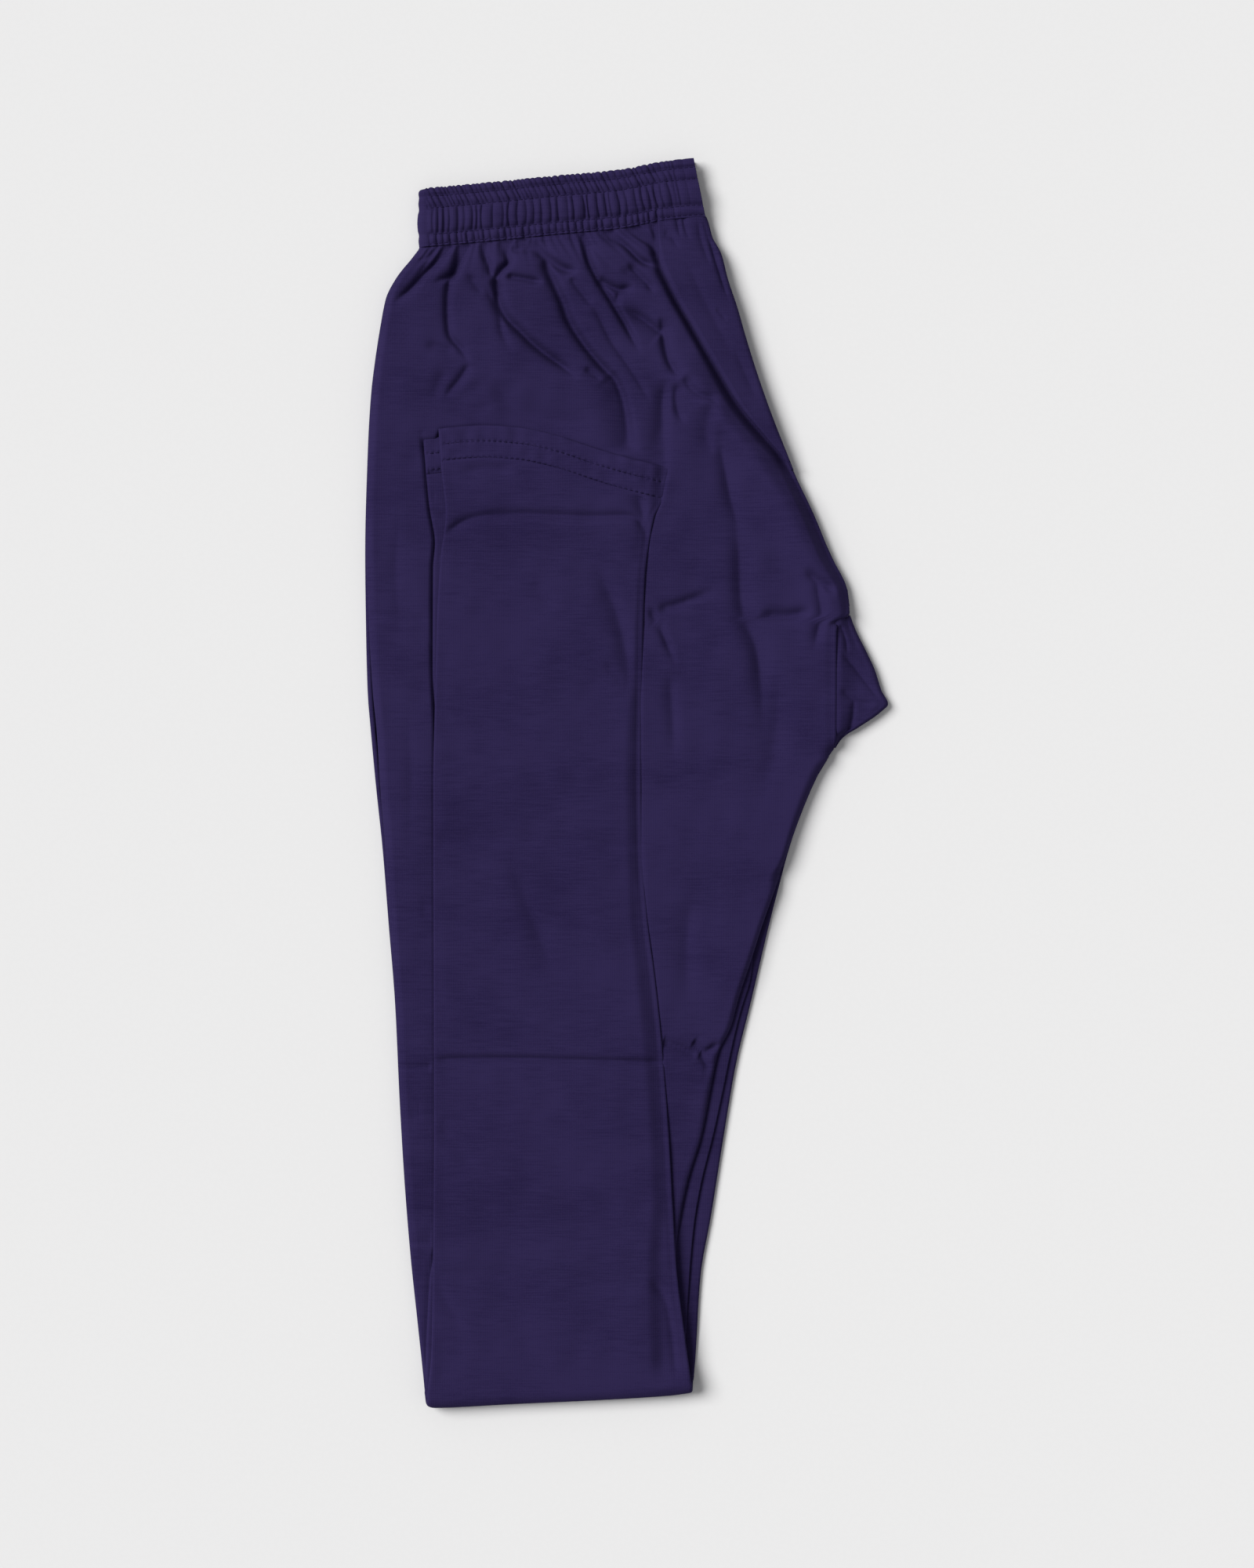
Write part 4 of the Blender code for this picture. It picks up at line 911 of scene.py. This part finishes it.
def under_calf_grid():
    rows = []

    def end_line(x):
        return knee_fold(x) + 8.5 * MM

    def top_line(x):
        return under_hem_line(x) - HEM_DEPTH - 0.2 * MM

    for share in np.linspace(1, 0, 260):
        xl, _ = edge_point(end_line, top_line, under_calf_left, share)
        xr, _ = edge_point(end_line, top_line, under_calf_right, share)
        quiet = (xl + 10 * MM, xr - 4 * MM, 0.08)
        x, deep = section(xl, xr, 44, radius=1.4 * MM, quiet=quiet)
        y = end_line(x) * (1 - share) + top_line(x) * share
        rows.append(np.stack([x, y, UNDER_CALF_FACE - deep], 1))
    grid = np.array(rows)
    on_top = grid[..., 2] > UNDER_CALF_FACE - 1.5 * MM
    grid[..., 2] -= fold_field(grid[..., 0], grid[..., 1], UNDER_CALF_FOLDS) * on_top
    return grid


under_calf = cloth_shell("under_calf_cloth", under_calf_grid())
dress(under_calf, indigo, "upper_calf")

# The two hems.
# Each ankle is turned up 19 mm inside and sewn with two rows of small stitches. Pressed flat, a hem is a
# short tube of two doubled plies, a little thicker than the leg it ends and slightly rippled by the sewing.
HEM_ROWS = (8.3 * MM, 17.0 * MM)
HEM_LINES = 44
HEM_COLUMNS = 210
STITCH_PITCH = 3.0 * MM
STITCH_LENGTH = 2.0 * MM


def hem_grid(line, left, right, face, seed):
    rows = []
    for depth in np.linspace(0, HEM_DEPTH, HEM_LINES):
        def across(x):
            return line(x) - depth

        xl, _ = edge_point(across, across, left, 0)
        xr, _ = edge_point(across, across, right, 0)
        flat = np.linspace(xl + ROLL, xr - ROLL, HEM_COLUMNS)
        flat_y = across(flat)
        turn = ROLL * np.sin(np.radians(np.linspace(0, 180, 9)[1:-1]))
        fall = ROLL * np.cos(np.radians(np.linspace(0, 180, 9)[1:-1]))
        x = np.concatenate([flat, xr - ROLL + turn, flat[::-1], xl + ROLL - turn])
        y = across(x)
        loose = ease(0, 6 * MM, np.minimum(flat - xl, xr - flat))
        ripple = 0.24 * MM * soft_waves(flat, flat_y, seed, 9)
        ripple = ripple + 0.25 * MM * soft_waves(flat, flat_y, seed + 1, 34)
        pricked = 0.55 + 0.45 * np.cos(2 * math.pi * flat / STITCH_PITCH)
        sewn = sum(0.6 * MM * bell(depth - row, 0.8 * MM) * pricked for row in HEM_ROWS)
        edge = 0.6 * MM * (1 - ease(0, 1.2 * MM, depth)) + 1.1 * MM * ease(16.6 * MM, 18.6 * MM, depth)
        ripple = ripple * (1 - ease(14 * MM, 17 * MM, depth))
        sag = calf_sag(flat, flat_y) if face == CALF_FACE else 0
        top = face + loose * ripple - sewn - edge - sag
        under = flat * 0 + face - 2 * ROLL - sag
        z = np.concatenate([top, top[-1] - ROLL + fall, under[::-1], face - ROLL - fall])
        rows.append(np.stack([x, y, z], 1))
    return np.array(rows)


# The stitch thread is the same indigo as the jersey, but its colour is painted about half as bright: painted
# shade for the grooves the stitches sink into.
thread_with_painted_shade = jersey("indigo_thread_painted_shade", (0.008, 0.0055, 0.024), (0.018, 0.0125, 0.050), 0.0)


def stitches(name, sewn, radius):
    """Rows of short raised threads, each a slim six-sided bead lying along its direction."""
    ring = [(math.cos(a), math.sin(a)) for a in np.radians(range(0, 360, 60))]
    profile = ((-0.5, 0.25), (-0.34, 0.9), (0.34, 0.9), (0.5, 0.25))
    points = []
    faces = []
    for centre, direction in ((c, d) for row in sewn for c, d in zip(*row)):
        along = np.array(direction) / np.linalg.norm(direction)
        side = np.cross(along, (0, 0, 1))
        side /= np.linalg.norm(side)
        up = np.cross(side, along)
        base = len(points)
        for share, size in profile:
            for a, b in ring:
                around = (side * a + up * b) * radius * size
                points.append(centre + along * share * STITCH_LENGTH + around)
        for k in range(len(profile) - 1):
            for j in range(6):
                n = (j + 1) % 6
                faces.append((base + k * 6 + j, base + k * 6 + n, base + k * 6 + 6 + n, base + k * 6 + 6 + j))
        faces.append(tuple(base + j for j in range(5, -1, -1)))
        faces.append(tuple(base + 6 * (len(profile) - 1) + j for j in range(6)))
    return new_piece(name, np.array(points), faces)


def row_on_grid(grid, rows_at, columns, pitch, lift):
    """Points and directions of stitches along one line of a grid, evenly apart, just above its face."""
    line = grid[rows_at, columns]
    length = np.concatenate([[0], np.cumsum(np.linalg.norm(np.diff(line, axis=0), axis=1))])
    at = np.arange(pitch / 2, length[-1] - pitch / 2, pitch)
    centres = np.stack([np.interp(at, length, line[:, k]) for k in range(3)], 1)
    ahead = np.stack([np.interp(at + pitch * 0.3, length, line[:, k]) for k in range(3)], 1)
    behind = np.stack([np.interp(at - pitch * 0.3, length, line[:, k]) for k in range(3)], 1)
    return centres + np.array([0, 0, lift]), ahead - behind


def make_hem(name, node_name, line, left, right, face, seed):
    grid = hem_grid(line, left, right, face, seed)
    hem = cloth_shell(name, grid, 1.1 * MM, closed=True)
    dress(hem, indigo, node_name)
    lines = [int(round(depth / HEM_DEPTH * (HEM_LINES - 1))) for depth in HEM_ROWS]
    shown = slice(2, HEM_COLUMNS - 2)
    sewn = [row_on_grid(grid, line_number, shown, STITCH_PITCH, 0.0) for line_number in lines]
    seam = stitches(name + "_stitches", sewn, 0.30 * MM)
    dress(seam, thread_with_painted_shade)


make_hem("top_hem", "lower_hem", hem_line, calf_left, calf_right, CALF_FACE, 51)
make_hem("under_hem", "upper_hem", under_hem_line, under_calf_left, under_calf_right, UNDER_CALF_FACE, 61)

# The waistband.
# A casing of the same jersey over a wide elastic, sewn through with four rows of stitches. The elastic draws
# the casing into fine pleats, close in the narrow channels and wider in the puffed middle one; the last
# stretch at the right lies almost smooth. Folded, it goes round the left side and back underneath.
BAND_FACE = 8.0 * MM
BAND_ROWS = (4.2 * MM, 10.6 * MM, 24.4 * MM, 29.6 * MM)
BAND_LEFT = -110.2 * MM
BAND_LINES = 78
BAND_COLUMNS = 420
band_puff = reader(table("y x",
    (0, 0), (2.2, 0.5), (4.2, 0.0), (7.4, 0.6), (10.6, 0.0), (13.4, 1.2), (17.5, 1.75), (21.6, 1.2),
    (24.4, 0.0), (27, 0.5), (29.6, -0.1), (30.6, -0.3)), "x")


def uneven_places(seed, start, end, closest, widest):
    """Places along the band, unevenly far apart."""
    random = np.random.default_rng(seed)
    places = [start]
    while places[-1] < end:
        places.append(places[-1] + random.uniform(closest, widest))
    return np.array(places), random.uniform(0.45, 1.0, len(places))


def band_grid():
    """The casing as a grid, and how far down the band each line of the grid lies."""
    fold_radius = BAND_FACE / 2
    turn = BAND_LEFT + fold_radius
    upper_row, lower_row = BAND_ROWS[1:3]
    upper_at, upper_deep = uneven_places(71, turn - 4 * MM, 29 * MM, 1.5 * MM, 3.9 * MM)
    middle_at, middle_deep = uneven_places(72, turn - 1 * MM, 22 * MM, 2.3 * MM, 5.6 * MM)
    middle_bow = np.random.default_rng(75).uniform(-0.7, 0.7, len(middle_at)) * MM
    faint_at = np.array([24.5, 26.5, 31.5]) * MM
    angles = np.radians(np.linspace(0, 180, 16)[1:-1])
    rows = []
    roll_in, roll_deep = roll_edge(1, 1.3 * MM, 1.0 * MM, 7)
    lines = list(zip(roll_in[::-1], roll_deep[::-1]))
    lines += [(depth + roll_in[0], 0.0) for depth in np.linspace(0, BAND_DEPTH - roll_in[0], BAND_LINES)[1:]]
    for place, deep in lines:
        right = (35.5 + 6.2 * place / BAND_DEPTH) * MM
        top_x = np.linspace(right, turn, BAND_COLUMNS)
        slant = np.clip((top_x + 60 * MM) / (90 * MM), 0, 1)
        in_upper = 1 - ease(upper_row - 1.2 * MM, upper_row + 1.2 * MM, place)
        in_lower = ease(lower_row - 1.2 * MM, lower_row + 1.2 * MM, place)
        in_middle = 1 - in_upper - in_lower
        into_middle = place - upper_row
        along = np.clip(into_middle / (lower_row - upper_row), 0, 1)
        upper = valleys(top_x, upper_at + 0.5 * place, 1.6 * upper_deep, 0.52 * MM)
        bowed = [at + bow * math.sin(math.pi * along) for at, bow in zip(middle_at, middle_bow)]
        middle = valleys(top_x - 0.26 * slant * into_middle, bowed, 1.75 * middle_deep, 0.65 * MM)
        lower_at = GATHERS["x"] - 0.12 * (BAND_DEPTH - place)
        lower = valleys(top_x, lower_at, 1.25 * GATHERS["depth"] / MM, 0.6 * MM)
        faint = valleys(top_x - 0.2 * into_middle, faint_at, np.array([0.5, 0.7, 0.35]), 0.6 * MM)
        gathered = 1 - ease(16 * MM, 27 * MM, top_x - 0.2 * place)
        sunk = (in_upper * upper + in_middle * middle + in_lower * lower) * gathered + faint * (1 - in_lower)
        near_row = sum(bell(place - row, 0.8 * MM) for row in BAND_ROWS)
        bulge = 0.25 * soft_waves(top_x, top_x * 0 + place, 74, 11) * (0.3 + 0.7 * gathered)
        relief = band_puff(place) + MM * (bulge - sunk * (1 - 0.45 * near_row) - 0.45 * near_row + 0.3)
        from_turn = ease(0, 3 * MM, top_x - turn)
        top_z = BAND_FACE + relief * (0.35 + 0.65 * from_turn) - deep
        scallop = 0.45 * MM * (1.6 - sunk) * math.exp(-place / (1.6 * MM))
        swell = 0.5 * band_puff(place)
        upper_side = np.cos(angles) > 0
        height = np.where(upper_side, top_z[-1] - fold_radius, fold_radius - deep)
        turn_x = turn - (fold_radius - deep + swell) * np.sin(angles)
        floor_x = np.linspace(turn, right, 26)
        x = np.concatenate([top_x, turn_x, floor_x])
        z = np.concatenate([top_z, fold_radius + height * np.cos(angles), floor_x * 0 + deep])
        y = band_top(x) - place + np.concatenate([scallop, turn_x * 0, floor_x * 0])
        rows.append(np.stack([x, y, z], 1))
    return np.array(rows), np.array([place for place, _ in lines])


band_points, band_places = band_grid()
waistband = cloth_shell("waistband_casing", band_points, 1.0 * MM, flip=True)
dress(waistband, indigo, "waistband")
band_sewn = []
for band_row in BAND_ROWS:
    line_number = int(np.argmin(np.abs(band_places - band_row)))
    band_sewn.append(row_on_grid(band_points, line_number, slice(2, BAND_COLUMNS - 2), 2.9 * MM, 0.02 * MM))
band_seams = stitches("waistband_stitches", band_sewn, 0.28 * MM)
dress(band_seams, thread_with_painted_shade)
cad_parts["band_layers"].data.materials.clear()
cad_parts["band_layers"].data.materials.append(indigo)

# The studio: pale floor, one broad soft light from the upper left, and pale air all round.
# The camera looks straight down, as the photo does.
bpy.ops.mesh.primitive_plane_add(size=6.0, location=(0, 0, 0))
floor = bpy.context.active_object
floor.name = "studio_floor"
floor_material = bpy.data.materials.new("pale_paper")
floor_material.use_nodes = True
paper = floor_material.node_tree
grain = stretched_noise(paper, node(paper, "ShaderNodeTexCoord").outputs["Object"], 400.0, 2)
paper_ramp = node(paper, "ShaderNodeValToRGB")
paper_ramp.color_ramp.elements[0].color = (0.865, 0.862, 0.858, 1)
paper_ramp.color_ramp.elements[1].color = (0.885, 0.882, 0.878, 1)
paper.links.new(grain, paper_ramp.inputs["Fac"])
paper.links.new(paper_ramp.outputs["Color"], paper.nodes["Principled BSDF"].inputs["Base Color"])
paper.nodes["Principled BSDF"].inputs["Roughness"].default_value = 0.95
paper.nodes["Principled BSDF"].inputs["Specular IOR Level"].default_value = 0.1
floor.data.materials.append(floor_material)


def soft_light(name, bearing, height, spread, power):
    """A far, broad light: its bearing and height in degrees, and how wide it looks from the trousers."""
    light = bpy.data.lights.new(name, "SUN")
    light.energy = power
    light.angle = math.radians(spread)
    lamp = bpy.data.objects.new(name, light)
    lamp.rotation_euler = (math.radians(90 - height), 0, math.radians(bearing + 90))
    bpy.context.scene.collection.objects.link(lamp)


soft_light("key_from_upper_left", 155, 46, 34, 2.98)

world = bpy.data.worlds.new("studio_air")
world.use_nodes = True
world.node_tree.nodes["Background"].inputs["Color"].default_value = (0.98, 0.98, 1.0, 1)
world.node_tree.nodes["Background"].inputs["Strength"].default_value = 0.28
bpy.context.scene.world = world
bpy.context.scene.view_settings.view_transform = "Standard"

FRAME_HEIGHT = 830 * MM
FRAME_CENTRE = (0.2 * MM, -0.4 * MM)
CLOTH_LEVEL = 8 * MM
LENS = 85.0
SENSOR = 36.0
camera_data = bpy.data.cameras.new("camera_above")
camera_data.sensor_fit = "VERTICAL"
camera_data.sensor_height = SENSOR
camera_data.lens = LENS
camera = bpy.data.objects.new("camera_above", camera_data)
camera.location = (*FRAME_CENTRE, FRAME_HEIGHT / 2 * LENS / (SENSOR / 2) + CLOTH_LEVEL)
bpy.context.scene.collection.objects.link(camera)
bpy.context.scene.camera = camera
